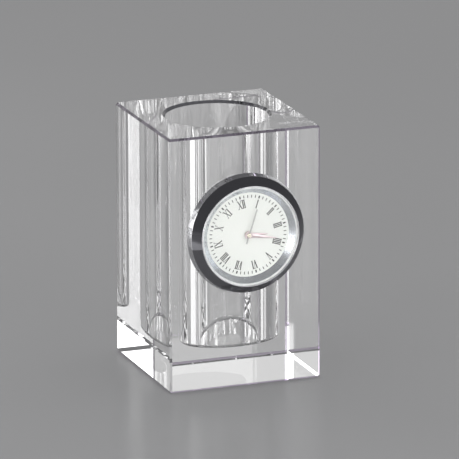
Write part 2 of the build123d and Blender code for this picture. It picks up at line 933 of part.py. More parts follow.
# Negative contact: a flat foot on the main plate and a tongue bent back to the cell
leaf_plane = Plane(
    origin=face_plane(plate_back).from_local_coords((battery_place[0], -contact_width / 2, 0)),
    x_dir=face_plane(0).x_dir,
    z_dir=face_plane(0).y_dir,
)
leaf_drop = plate_back - battery_front
with BuildPart() as negative_contact:
    with BuildSketch(leaf_plane):
        leaf_points = [
            (-contact_reach, 0),
            (-contact_reach, contact_thickness),
            (-contact_reach / 2, contact_thickness),
            (0, leaf_drop),
            (contact_reach / 2, leaf_drop),
            (contact_reach / 2, leaf_drop - contact_thickness),
            (0, leaf_drop - contact_thickness),
            (-contact_reach / 2, 0),
        ]
        Polygon(*leaf_points, align=None)
    extrude(amount=contact_width)
finish(negative_contact, "negative_contact")


def lug_sector(start_angle, width_angle, outer_radius):
    """A wedge of the battery's circle, as a closed outline."""
    ends = [
        from_place(clock_centre, outer_radius / math.cos(math.radians(width_angle / 2)), angle)
        for angle in (start_angle - width_angle / 2, start_angle + width_angle / 2)
    ]
    return [(0, 0), *ends]


lug_angles = [lug * 360 / hatch_lug_count for lug in range(hatch_lug_count)]

# Back cover: snap bead, battery opening with bayonet notches, hole for the setting stem
with BuildPart() as back_cover:
    bead_radius = inner_radius + bead_height
    add(
        turned_ring(
            [
                (0, cover_back),
                (inner_radius, cover_back),
                (inner_radius, groove_middle - bead_width),
                (bead_radius, groove_middle),
                (inner_radius, groove_middle + bead_width),
                (inner_radius, cover_front),
                (0, cover_front),
            ]
        )
    )
    add(
        round_bar(battery_place, hatch_radius + running_fit, cover_back, cover_front),
        mode=Mode.SUBTRACT,
    )
    for lug_angle in lug_angles:
        with BuildSketch(face_plane(cover_back)):
            with Locations(battery_place):
                notch_outline = lug_sector(
                    lug_angle - hatch_turn, hatch_lug_angle + hatch_notch_play, 2 * hatch_lug_radius
                )
                Polygon(*notch_outline, align=None)
                Circle(hatch_lug_radius + running_fit, mode=Mode.INTERSECT)
        extrude(amount=cover_thickness, mode=Mode.SUBTRACT)
    add(
        round_bar(setting_place, stem_hole_radius, cover_back, cover_front),
        mode=Mode.SUBTRACT,
    )
finish(back_cover, "back_cover")

# Battery hatch: disc with a coin slot, a neck and bayonet lugs
with BuildPart() as battery_hatch:
    add(round_bar(battery_place, hatch_radius, cover_back, cover_front))
    neck_front = cover_front + hatch_neck_height
    add(tube(battery_place, hatch_radius, neck_radius, cover_front, neck_front))
    for lug_angle in lug_angles:
        with BuildSketch(face_plane(neck_front - hatch_lug_thickness)):
            with Locations(battery_place):
                Polygon(*lug_sector(lug_angle, hatch_lug_angle, 2 * hatch_lug_radius), align=None)
                Circle(hatch_lug_radius, mode=Mode.INTERSECT)
                Circle(neck_radius, mode=Mode.SUBTRACT)
        extrude(amount=hatch_lug_thickness)
    with BuildSketch(face_plane(cover_back)):
        with Locations(battery_place):
            Rectangle(coin_slot_length, coin_slot_width)
    extrude(amount=coin_slot_depth, mode=Mode.SUBTRACT)
finish(battery_hatch, "battery_hatch")

# Knurled setting knob
with BuildPart() as setting_knob:
    with BuildSketch(face_plane(knob_back)):
        with Locations(setting_place):
            Circle(knob_radius)
            with PolarLocations(knob_radius, knob_scallop_count):
                Circle(knob_scallop_radius, mode=Mode.SUBTRACT)
    extrude(amount=knob_thickness)
    add(
        round_bar(setting_place, arbor_radius, knob_back + knob_thickness / 2, knob_front),
        mode=Mode.SUBTRACT,
    )
finish(setting_knob, "setting_knob")


def screw(place, seat):
    """One slotted screw driven from the back, with its head on a seat height."""
    with BuildPart() as fastener:
        add(round_bar(place, screw_head_radius, seat - screw_head_height, seat))
        add(round_bar(place, screw_shank_radius, seat, seat + screw_length))
        with BuildSketch(face_plane(seat - screw_head_height)):
            with Locations(place):
                Rectangle(2 * screw_head_radius, screw_slot_width)
        extrude(amount=screw_slot_depth, mode=Mode.SUBTRACT)
    return fastener.part


# Identical screws for the bridge, the board and the coil
with BuildPart() as movement_screws:
    for pillar_place in pillar_places:
        add(screw(pillar_place, bridge_back))
    for board_screw_place in board_screw_places:
        add(screw(board_screw_place, board_back))
    for coil_end in coil_ends:
        add(screw(coil_end, core_back))
finish(movement_screws, "movement_screws")
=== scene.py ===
import logging
import math
from collections.abc import Sequence
from dataclasses import dataclass
from enum import Enum
from itertools import product
from typing import Any

import bmesh
import bpy
from mathutils import Matrix, Vector


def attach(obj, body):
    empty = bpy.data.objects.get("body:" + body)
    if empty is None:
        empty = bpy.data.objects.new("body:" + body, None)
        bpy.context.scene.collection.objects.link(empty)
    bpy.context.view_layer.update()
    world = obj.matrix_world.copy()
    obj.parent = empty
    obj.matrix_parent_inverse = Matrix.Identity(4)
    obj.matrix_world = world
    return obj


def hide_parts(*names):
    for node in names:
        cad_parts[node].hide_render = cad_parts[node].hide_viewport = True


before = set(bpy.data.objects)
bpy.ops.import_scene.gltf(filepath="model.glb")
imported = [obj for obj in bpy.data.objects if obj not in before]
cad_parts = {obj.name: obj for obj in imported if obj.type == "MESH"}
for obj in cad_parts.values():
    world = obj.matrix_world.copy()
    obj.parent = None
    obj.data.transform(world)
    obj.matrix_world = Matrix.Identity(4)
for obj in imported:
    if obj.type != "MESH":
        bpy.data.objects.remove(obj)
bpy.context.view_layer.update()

MM = 0.001
LOG = logging.getLogger("pen_holder_clock")

Colour = tuple[float, float, float]
Spot = tuple[float, float]
Span = tuple[float, float]
Point = tuple[float, float, float]
Profile = Sequence[Sequence[float]]
Material = bpy.types.Material
Piece = bpy.types.Object
Socket = bpy.types.NodeSocket

# The angles in degrees above which an edge stays sharp, as a rule and on knurls and wire
CREASE = 28.0
KNURL_CREASE = 50.0
# Corners nearer than this are one: in millimetres on made and grown shapes, in metres on packed ones
MADE_WELD = 1e-5
GROWN_WELD = 0.0005
PACKED_WELD = 1e-7
# The digits that a made corner's place is rounded to
PLACE_DIGITS = 5
# The straight runs of a small arc, and how far beside it a further corner keeps the shading flat
ARC_STEPS = 5
ARC_MARGIN = 0.02
# The steps along one rib or knurl
SCALLOP_STEPS = 12.0
# The middle of the button cell and of the hatch behind it, in the dial's millimetres
CELL_PLACE = (-10.6, 0.0)
# The two sides of an axis, and the corners of a square in turning order
SIGNS = (-1, 1)
ROUND_SIGNS = ((-1, -1), (1, -1), (1, 1), (-1, 1))


# The clock's own directions


@dataclass(frozen=True)
class DialFrame:
    """The clock's own directions in millimetres: x and y lie in the dial, height points to the viewer."""

    turn: float = 12.4
    glass_front: float = -30.0
    centre_height: float = 59.5

    def matrix(self) -> Matrix:
        """Works out where the dial lies.

        Returns:
            The matrix from the dial's millimetres to the scene's metres.
        """
        angle = math.radians(self.turn)
        across = Vector((math.cos(angle), 0, math.sin(angle)))
        upward = Vector((-math.sin(angle), 0, math.cos(angle)))
        outward = Vector((0, -1, 0))
        turned = Matrix((across, upward, outward)).transposed().to_4x4()
        place = Vector((0, self.glass_front, self.centre_height)) * MM
        return Matrix.Translation(place) @ turned @ Matrix.Scale(MM, 4)


DIAL = DialFrame()
BLOCK_MATRIX = Matrix.Scale(MM, 4)


# Mesh making


class Shell:
    """Collects the faces of one closed shape, joining the corners that lie in one place."""

    def __init__(self) -> None:
        """Starts with no faces."""
        self.corners: list[Point] = []
        self.places: dict[Point, int] = {}
        self.faces: list[list[int]] = []

    def corner(self, point: Sequence[float]) -> int:
        """The number of the corner at a point.

        Args:
            point: Three numbers in the piece's own millimetres.

        Returns:
            The corner's place in the list, made if it is new.
        """
        key = tuple(round(float(value), PLACE_DIGITS) + 0.0 for value in point)
        if key not in self.places:
            self.places[key] = len(self.corners)
            self.corners.append(key)
        return self.places[key]

    def face(self, *points: Sequence[float]) -> None:
        """Adds one face, leaving out corners that fall together.

        Args:
            points: The face's corners in order.
        """
        numbers: list[int] = []
        for point in points:
            number = self.corner(point)
            if number not in numbers:
                numbers.append(number)
        if len(numbers) > 2:
            self.faces.append(numbers)

    def band(self, first: Profile, second: Profile) -> None:
        """Joins two closed rings of equally many points with quads.

        Args:
            first: One ring.
            second: The other ring.
        """
        count = len(first)
        for index in range(count):
            after = (index + 1) % count
            self.face(first[index], first[after], second[after], second[index])

    def piece(self, name: str, matrix: Matrix, crease: float = CREASE) -> Piece:
        """Makes the mesh object, with its place in its mesh.

        Args:
            name: The piece's name.
            matrix: From the piece's millimetres to the scene's metres.
            crease: The angle in degrees above which an edge stays sharp.

        Returns:
            The new object.
        """
        mesh = bpy.data.meshes.new(name)
        mesh.from_pydata(self.corners, [], self.faces)
        return settle(mesh, name, matrix, crease)


def settle(mesh: bpy.types.Mesh, name: str, matrix: Matrix, crease: float = CREASE) -> Piece:
    """Turns a mesh in millimetres into a finished object at the origin.

    Args:
        mesh: The mesh in the piece's own millimetres.
        name: The piece's name.
        matrix: From those millimetres to the scene's metres.
        crease: The angle in degrees above which an edge stays sharp.

    Returns:
        The new object, linked to the scene.
    """
    work = bmesh.new()
    work.from_mesh(mesh)
    bmesh.ops.remove_doubles(work, verts=work.verts, dist=MADE_WELD)
    bmesh.ops.recalc_face_normals(work, faces=work.faces)
    for face in work.faces:
        face.smooth = True
    for edge in work.edges:
        edge.smooth = len(edge.link_faces) == 2 and edge.calc_face_angle() < math.radians(crease)
    work.to_mesh(mesh)
    work.free()
    mesh.transform(matrix)
    mesh.name = name
    piece = bpy.data.objects.new(name, mesh)
    bpy.context.scene.collection.objects.link(piece)
    return piece


def polar(radius: float, angle: float) -> Spot:
    """The point at a radius and an angle in radians."""
    return radius * math.cos(angle), radius * math.sin(angle)


def circle(radius: float, height: float, count: int, place: Spot = (0, 0)) -> list[Vector]:
    """Points round a circle that lies flat at one height.

    Args:
        radius: The circle's radius.
        height: Its height.
        count: How many points.
        place: Its centre.

    Returns:
        The points in turning order.
    """
    spots = (polar(radius, 2 * math.pi * index / count) for index in range(count))
    return [Vector((place[0] + x, place[1] + y, height)) for x, y in spots]


def section(inner: float, outer: float, back: float, front: float, *arcs: float) -> Profile:
    """The outline of a plain ring, or of a disc where the inner radius is nought.

    Args:
        inner: The inner radius.
        outer: The outer radius.
        back: The back's height.
        front: The front's height.
        arcs: The arcs' radii from the inner back corner on, round by the outside, nought for a sharp one.

    Returns:
        The four corners.
    """
    corners = ((inner, back), (outer, back), (outer, front), (inner, front))
    return [(*corner, arc) if arc else corner for corner, arc in zip(corners, arcs)]


def rounded(profile: Profile) -> list[Spot]:
    """Cuts the corners of a closed outline with small arcs.

    Args:
        profile: Corners of two numbers, with a third, the arc's radius, where one is rounded.

    Returns:
        The corners of the new outline.
    """
    outline: list[Spot] = []
    count = len(profile)
    for index, corner in enumerate(profile):
        here = Vector(corner[:2])
        if len(corner) < 3:
            outline.append((here.x, here.y))
            continue
        back = (Vector(profile[index - 1][:2]) - here).normalized()
        ahead = (Vector(profile[(index + 1) % count][:2]) - here).normalized()
        half = back.angle(ahead) / 2
        reach = corner[2] / math.tan(half)
        middle = here + (back + ahead).normalized() * (corner[2] / math.sin(half))
        start, end = here + back * reach - middle, here + ahead * reach - middle
        sweep = start.angle_signed(end)
        outline.append(tuple(here + back * (reach + ARC_MARGIN)))
        for step in range(ARC_STEPS + 1):
            spoke = start.copy()
            spoke.rotate(Matrix.Rotation(-sweep * step / ARC_STEPS, 2))
            outline.append(tuple(middle + spoke))
        outline.append(tuple(here + ahead * (reach + ARC_MARGIN)))
    return outline


def turned(name: str, profile: Profile, place: Spot = (0, 0), count: int = 256) -> Piece:
    """Turns a closed outline of radius and height about an axis square to the dial.

    Args:
        name: The piece's name.
        profile: Corners of radius and height, with an arc's radius where one is rounded.
        place: The axis, in the dial's directions.
        count: How many steps round.

    Returns:
        The new piece.
    """
    shell = Shell()
    outline = rounded(profile)
    rings = [circle(max(radius, 0.0), height, count, place) for radius, height in outline]
    for index, ring in enumerate(rings):
        following = (index + 1) % len(rings)
        if outline[index][0] > 0 or outline[following][0] > 0:
            shell.band(ring, rings[following])
    return shell.piece(name, DIAL.matrix())


def join(whole: Piece, *others: Piece) -> None:
    """Adds the meshes of other new objects to one, and removes them.

    Args:
        whole: The object that stays.
        others: The objects whose meshes it takes up.
    """
    work = bmesh.new()
    for item in (whole, *others):
        work.from_mesh(item.data)
    work.to_mesh(whole.data)
    work.free()
    for item in others:
        bpy.data.objects.remove(item)


# Node trees


class Sheet:
    """A node tree that takes nodes by kind, sets them and wires them."""

    prefix = "ShaderNode"

    def __init__(self, tree: bpy.types.NodeTree) -> None:
        """Keeps the tree that the nodes go into."""
        self.tree = tree

    def node(self, kind: str, inputs: dict[Any, Any] | None = None, **settings: Any) -> bpy.types.Node:
        """Adds a node.

        Args:
            kind: The node's full type, or what follows the sheet's own prefix in it.
            inputs: Values or sockets for its inputs, by name or number.
            settings: The node's own settings.

        Returns:
            The new node.
        """
        full = kind if kind.startswith(("ShaderNode", "FunctionNode")) else self.prefix + kind
        node = self.tree.nodes.new(full)
        for key, value in settings.items():
            setattr(node, key, value)
        for key, value in (inputs or {}).items():
            socket = node.inputs[key]
            if isinstance(value, Socket):
                self.tree.links.new(value, socket)
            else:
                socket.default_value = value
        return node

    def made(self, kind: str, inputs: dict[Any, Any] | None = None, **settings: Any) -> Socket:
        """The first output of a new node."""
        return self.node(kind, inputs, **settings).outputs[0]


class Board(Sheet):
    """The shader nodes of one material or world."""

    def __init__(self, owner: Material | bpy.types.World) -> None:
        """Empties the owner's nodes.

        Args:
            owner: The material or world that the nodes are for.
        """
        self.owner = owner
        owner.use_nodes = True
        super().__init__(owner.node_tree)
        self.tree.nodes.clear()

    def world_place(self) -> Socket:
        """Object coordinates in millimetres."""
        source = self.node("TexCoord").outputs["Object"]
        return self.made("VectorMath", {0: source, "Scale": 1 / MM}, operation="SCALE")

    def dial_place(self, centre: Spot = (0, 0)) -> Socket:
        """Object coordinates in the dial's own millimetres.

        Args:
            centre: The place on the dial that they are counted from.

        Returns:
            The socket that gives them.
        """
        matrix = DIAL.matrix() @ Matrix.Translation((*centre, 0))
        inputs = {
            "Vector": self.node("TexCoord").outputs["Object"],
            "Location": matrix.translation,
            "Rotation": matrix.to_euler(),
            "Scale": (MM, MM, MM),
        }
        return self.made("Mapping", inputs, vector_type="TEXTURE")

    def stretched(self, place: Socket, scale: Sequence[float]) -> Socket:
        """A place multiplied by three numbers."""
        return self.made("VectorMath", {0: place, 1: scale}, operation="MULTIPLY")

    def noise(self, place: Socket, scale: float, detail: float = 3.0, roughness: float = 0.55) -> Socket:
        """Fractal noise at a scale per millimetre."""
        inputs = {"Vector": place, "Scale": scale, "Detail": detail, "Roughness": roughness}
        return self.node("TexNoise", inputs).outputs["Fac"]

    def rings(self, place: Socket, pitch: float) -> Socket:
        """Fine turned rings round the dial's axis, closer together for a smaller pitch."""
        inputs = {"Vector": place, "Scale": 1 / (2 * pitch), "Distortion": 0.8, "Detail": 2.0}
        return self.node("TexWave", inputs, wave_type="RINGS", rings_direction="Z").outputs["Fac"]

    def between(
        self, factor: Socket, low: float, high: float, start: float = 0.3, end: float = 0.7
    ) -> Socket:
        """A factor turned into a number from low to high."""
        inputs = {"Value": factor, "From Min": start, "From Max": end, "To Min": low, "To Max": high}
        return self.node("MapRange", inputs).outputs["Result"]

    def shades(
        self, factor: Socket, dark: Colour, light: Colour, start: float = 0.3, end: float = 0.7
    ) -> Socket:
        """A factor turned into a colour.

        Args:
            factor: The number that says how light it is.
            dark: The colour up to the start.
            light: The colour from the end on.
            start: The factor where the change begins.
            end: The factor where it is done.

        Returns:
            The socket that gives the colour.
        """
        ramp = self.node("ValToRGB", {"Fac": factor})
        for element, share, colour in zip(ramp.color_ramp.elements, (start, end), (dark, light)):
            element.position = share
            element.color = (*colour, 1)
        return ramp.outputs["Color"]

    def bump(self, height: Socket, depth: float, strength: float = 1.0) -> Socket:
        """A normal from a height, with its depth in millimetres."""
        inputs = {"Height": height, "Distance": depth * MM, "Strength": strength}
        return self.node("Bump", inputs).outputs["Normal"]

    def either(self, factor: Any, first: Socket, second: Socket) -> Socket:
        """Two shaders mixed by a factor."""
        return self.made("MixShader", {0: factor, 1: first, 2: second})

    def principled(self, **inputs: Any) -> Socket:
        """A Principled shader, its inputs named with underscores for spaces."""
        return self.made("BsdfPrincipled", {key.replace("_", " "): value for key, value in inputs.items()})

    def surface(self, shader: Socket) -> Material | bpy.types.World:
        """Wires the last shader to the output and gives the material or world.

        Args:
            shader: The last shader.

        Returns:
            The material or world.
        """
        kind = "OutputWorld" if isinstance(self.owner, bpy.types.World) else "OutputMaterial"
        self.node(kind, {"Surface": shader})
        return self.owner

    def finished(self, **inputs: Any) -> Material:
        """The material, ended with one Principled shader."""
        return self.surface(self.principled(**inputs))


def scaled(colour: Colour, share: float) -> Colour:
    """A colour made lighter or darker by a share."""
    return tuple(min(1.0, value * share) for value in colour)


# Finishes


@dataclass(frozen=True)
class Finish:
    """What every finish has: a name and a main colour."""

    name: str
    colour: Colour

    def material(self) -> Material:
        """The finish's material, made the first time it is asked for."""
        found = bpy.data.materials.get(self.name)
        return found if found is not None else self.build(Board(bpy.data.materials.new(self.name)))

    def shade(self, board: Board, factor: Socket, low: float, high: float, *ends: float) -> Socket:
        """The main colour, running from one share of it to another."""
        return board.shades(factor, scaled(self.colour, low), scaled(self.colour, high), *ends)

    def build(self, board: Board) -> Material:
        """Builds the material's nodes.

        Args:
            board: The empty board of the material.

        Returns:
            The material.
        """
        raise NotImplementedError


@dataclass(frozen=True)
class ClearGlass(Finish):
    """Polished clear glass that lets lamps through, with a trace of wiping marks.

    The ripple is the depth in millimetres of the upright waves that polishing leaves in a bore.
    """

    index: float = 1.6
    passed: Colour = (0.95, 0.95, 0.95)
    smear: float = 0.005
    ripple: float = 0.0

    def build(self, board: Board) -> Material:
        """Builds the glass, its wiping marks and its way of passing lamp light.

        Args:
            board: The empty board of the material.

        Returns:
            The material.
        """
        place = board.world_place()
        marks = board.noise(board.stretched(place, (0.5, 0.5, 0.12)), 0.16, detail=4.0, roughness=0.6)
        inputs = {"Base_Color": (*self.colour, 1), "IOR": self.index, "Transmission_Weight": 1.0}
        if self.ripple:
            waves = board.noise(board.stretched(place, (1.0, 1.0, 0.001)), 0.5, detail=1.0, roughness=0.5)
            inputs["Normal"] = board.bump(waves, self.ripple)
        smears = board.between(marks, 0.0, self.smear, start=0.55, end=0.8)
        glass = board.principled(Roughness=smears, **inputs)
        passing = board.made("BsdfTransparent", {"Color": (*self.passed, 1)})
        shadow = board.node("LightPath").outputs["Is Shadow Ray"]
        return board.surface(board.either(shadow, glass, passing))


@dataclass(frozen=True)
class PolishedMetal(Finish):
    """Bright plated metal with hairline polishing marks."""

    roughness: float = 0.03
    marks: float = 0.04
    depth: float = 0.0006

    def build(self, board: Board) -> Material:
        """Builds the plating.

        Args:
            board: The empty board of the material.

        Returns:
            The material.
        """
        place = board.dial_place()
        hair = board.noise(board.stretched(place, (1.2, 1.2, 9.0)), 6.0, detail=4.0, roughness=0.7)
        rough = self.roughness + self.marks
        return board.finished(
            Base_Color=self.shade(board, board.noise(place, 0.35), 0.96, 1.03),
            Metallic=1.0,
            Roughness=board.between(hair, self.roughness, rough, start=0.35, end=0.8),
            Normal=board.bump(hair, self.depth, strength=0.3),
        )


@dataclass(frozen=True)
class TurnedMetal(Finish):
    """Metal with fine rings from the lathe round one centre."""

    roughness: float = 0.25
    centre: Spot = (0.0, 0.0)
    pitch: float = 0.12
    depth: float = 0.002

    def build(self, board: Board) -> Material:
        """Builds the rings, their sheen and a little staining.

        Args:
            board: The empty board of the material.

        Returns:
            The material.
        """
        place = board.dial_place(self.centre)
        cloud = board.noise(place, 0.5, detail=4.0)
        return board.finished(
            Base_Color=self.shade(board, cloud, 0.88, 1.06),
            Metallic=1.0,
            Roughness=board.between(cloud, self.roughness * 0.8, self.roughness * 1.25),
            Normal=board.bump(board.rings(place, self.pitch), self.depth, strength=0.6),
        )


@dataclass(frozen=True)
class BrushedMetal(Finish):
    """Sheet or drawn metal with straight brushing along one of the dial's directions."""

    roughness: float = 0.3
    along: tuple[float, float, float] = (0.4, 14.0, 14.0)
    depth: float = 0.0015
    metallic: float = 1.0

    def build(self, board: Board) -> Material:
        """Builds the brushing and its uneven sheen.

        Args:
            board: The empty board of the material.

        Returns:
            The material.
        """
        place = board.dial_place()
        streaks = board.noise(board.stretched(place, self.along), 1.0, detail=5.0, roughness=0.65)
        return board.finished(
            Base_Color=self.shade(board, board.noise(place, 0.6), 0.86, 1.06),
            Metallic=self.metallic,
            Roughness=board.between(streaks, self.roughness * 0.75, self.roughness * 1.3),
            Normal=board.bump(streaks, self.depth, strength=0.7),
        )


@dataclass(frozen=True)
class MouldedPlastic(Finish):
    """Moulded plastic or rubber with a fine spark-eroded grain."""

    roughness: float = 0.5
    grain: float = 9.0
    depth: float = 0.01
    sheen: float = 0.0

    def build(self, board: Board) -> Material:
        """Builds the grain, flow marks and gloss.

        Args:
            board: The empty board of the material.

        Returns:
            The material.
        """
        place = board.world_place()
        grain = board.noise(place, self.grain, roughness=0.6)
        flow = board.noise(board.stretched(place, (0.3, 0.3, 0.1)), 1.0)
        return board.finished(
            Base_Color=self.shade(board, flow, 0.85, 1.15),
            Roughness=board.between(grain, self.roughness * 0.85, min(1.0, self.roughness * 1.15)),
            Sheen_Weight=self.sheen,
            Normal=board.bump(grain, self.depth, strength=0.5),
        )


@dataclass(frozen=True)
class SatinPaint(Finish):
    """Thin sprayed paint or printed ink with a soft orange-peel surface."""

    roughness: float = 0.4
    peel: float = 5.0
    depth: float = 0.002
    contrast: float = 0.02

    def build(self, board: Board) -> Material:
        """Builds the paint's speck and peel.

        Args:
            board: The empty board of the material.

        Returns:
            The material.
        """
        place = board.dial_place()
        peel = board.noise(place, self.peel, detail=2.0, roughness=0.5)
        speck = board.noise(place, 26.0, detail=2.0, roughness=0.7)
        return board.finished(
            Base_Color=self.shade(board, speck, 1 - self.contrast, 1 + self.contrast),
            Roughness=board.between(peel, self.roughness * 0.85, self.roughness * 1.15),
            Normal=board.bump(peel, self.depth, strength=0.5),
        )


@dataclass(frozen=True)
class EnamelledWire(Finish):
    """Drawn copper under clear enamel."""

    def build(self, board: Board) -> Material:
        """Builds the copper's shade along the turns and its enamel.

        Args:
            board: The empty board of the material.

        Returns:
            The material.
        """
        place = board.stretched(board.dial_place(), (0.3, 8.0, 0.3))
        turns = board.noise(place, 1.0, roughness=0.6)
        return board.finished(
            Base_Color=self.shade(board, turns, 0.75, 1.15),
            Metallic=0.9,
            Roughness=board.between(turns, 0.2, 0.34),
            Coat_Weight=0.8,
            Coat_Roughness=0.08,
        )


@dataclass(frozen=True)
class Laminate(Finish):
    """Circuit board under green solder mask, with the lines of its copper showing through."""

    copper: Colour = (0.045, 0.22, 0.08)

    def build(self, board: Board) -> Material:
        """Builds the mask, its copper lines and their slight height.

        Args:
            board: The empty board of the material.

        Returns:
            The material.
        """
        place = board.dial_place()
        sizes = {"Scale": 1.0, "Mortar Size": 0.07, "Brick Width": 6.3, "Row Height": 0.55}
        greys = {"Color1": (0, 0, 0, 1), "Color2": (0.15, 0.15, 0.15, 1), "Mortar": (1, 1, 1, 1)}
        shifts = {"offset": 0.37, "offset_frequency": 3, "squash": 0.55, "squash_frequency": 4}
        lines = board.node("TexBrick", {"Vector": place, **greys, **sizes}, **shifts).outputs["Fac"]
        cloud = board.noise(place, 1.4)
        inputs = {"Factor": lines, "A": self.shade(board, cloud, 0.85, 1.1), "B": (*self.copper, 1)}
        return board.finished(
            Base_Color=board.node("Mix", inputs, data_type="RGBA").outputs["Result"],
            Roughness=board.between(cloud, 0.28, 0.4),
            Normal=board.bump(lines, depth=0.02, strength=0.6),
        )


@dataclass(frozen=True)
class Sintered(Finish):
    """Pressed and sintered magnet with a fine bright speck."""

    def build(self, board: Board) -> Material:
        """Builds the speck and the dull ground.

        Args:
            board: The empty board of the material.

        Returns:
            The material.
        """
        place = board.dial_place()
        cells = board.node("TexVoronoi", {"Vector": place, "Scale": 14.0}).outputs["Distance"]
        grain = board.noise(place, 18.0, roughness=0.7)
        return board.finished(
            Base_Color=self.shade(board, cells, 1.9, 0.8, 0.05, 0.45),
            Metallic=0.6,
            Roughness=board.between(grain, 0.42, 0.62),
            Normal=board.bump(grain, depth=0.01, strength=0.6),
        )


# Grown shapes


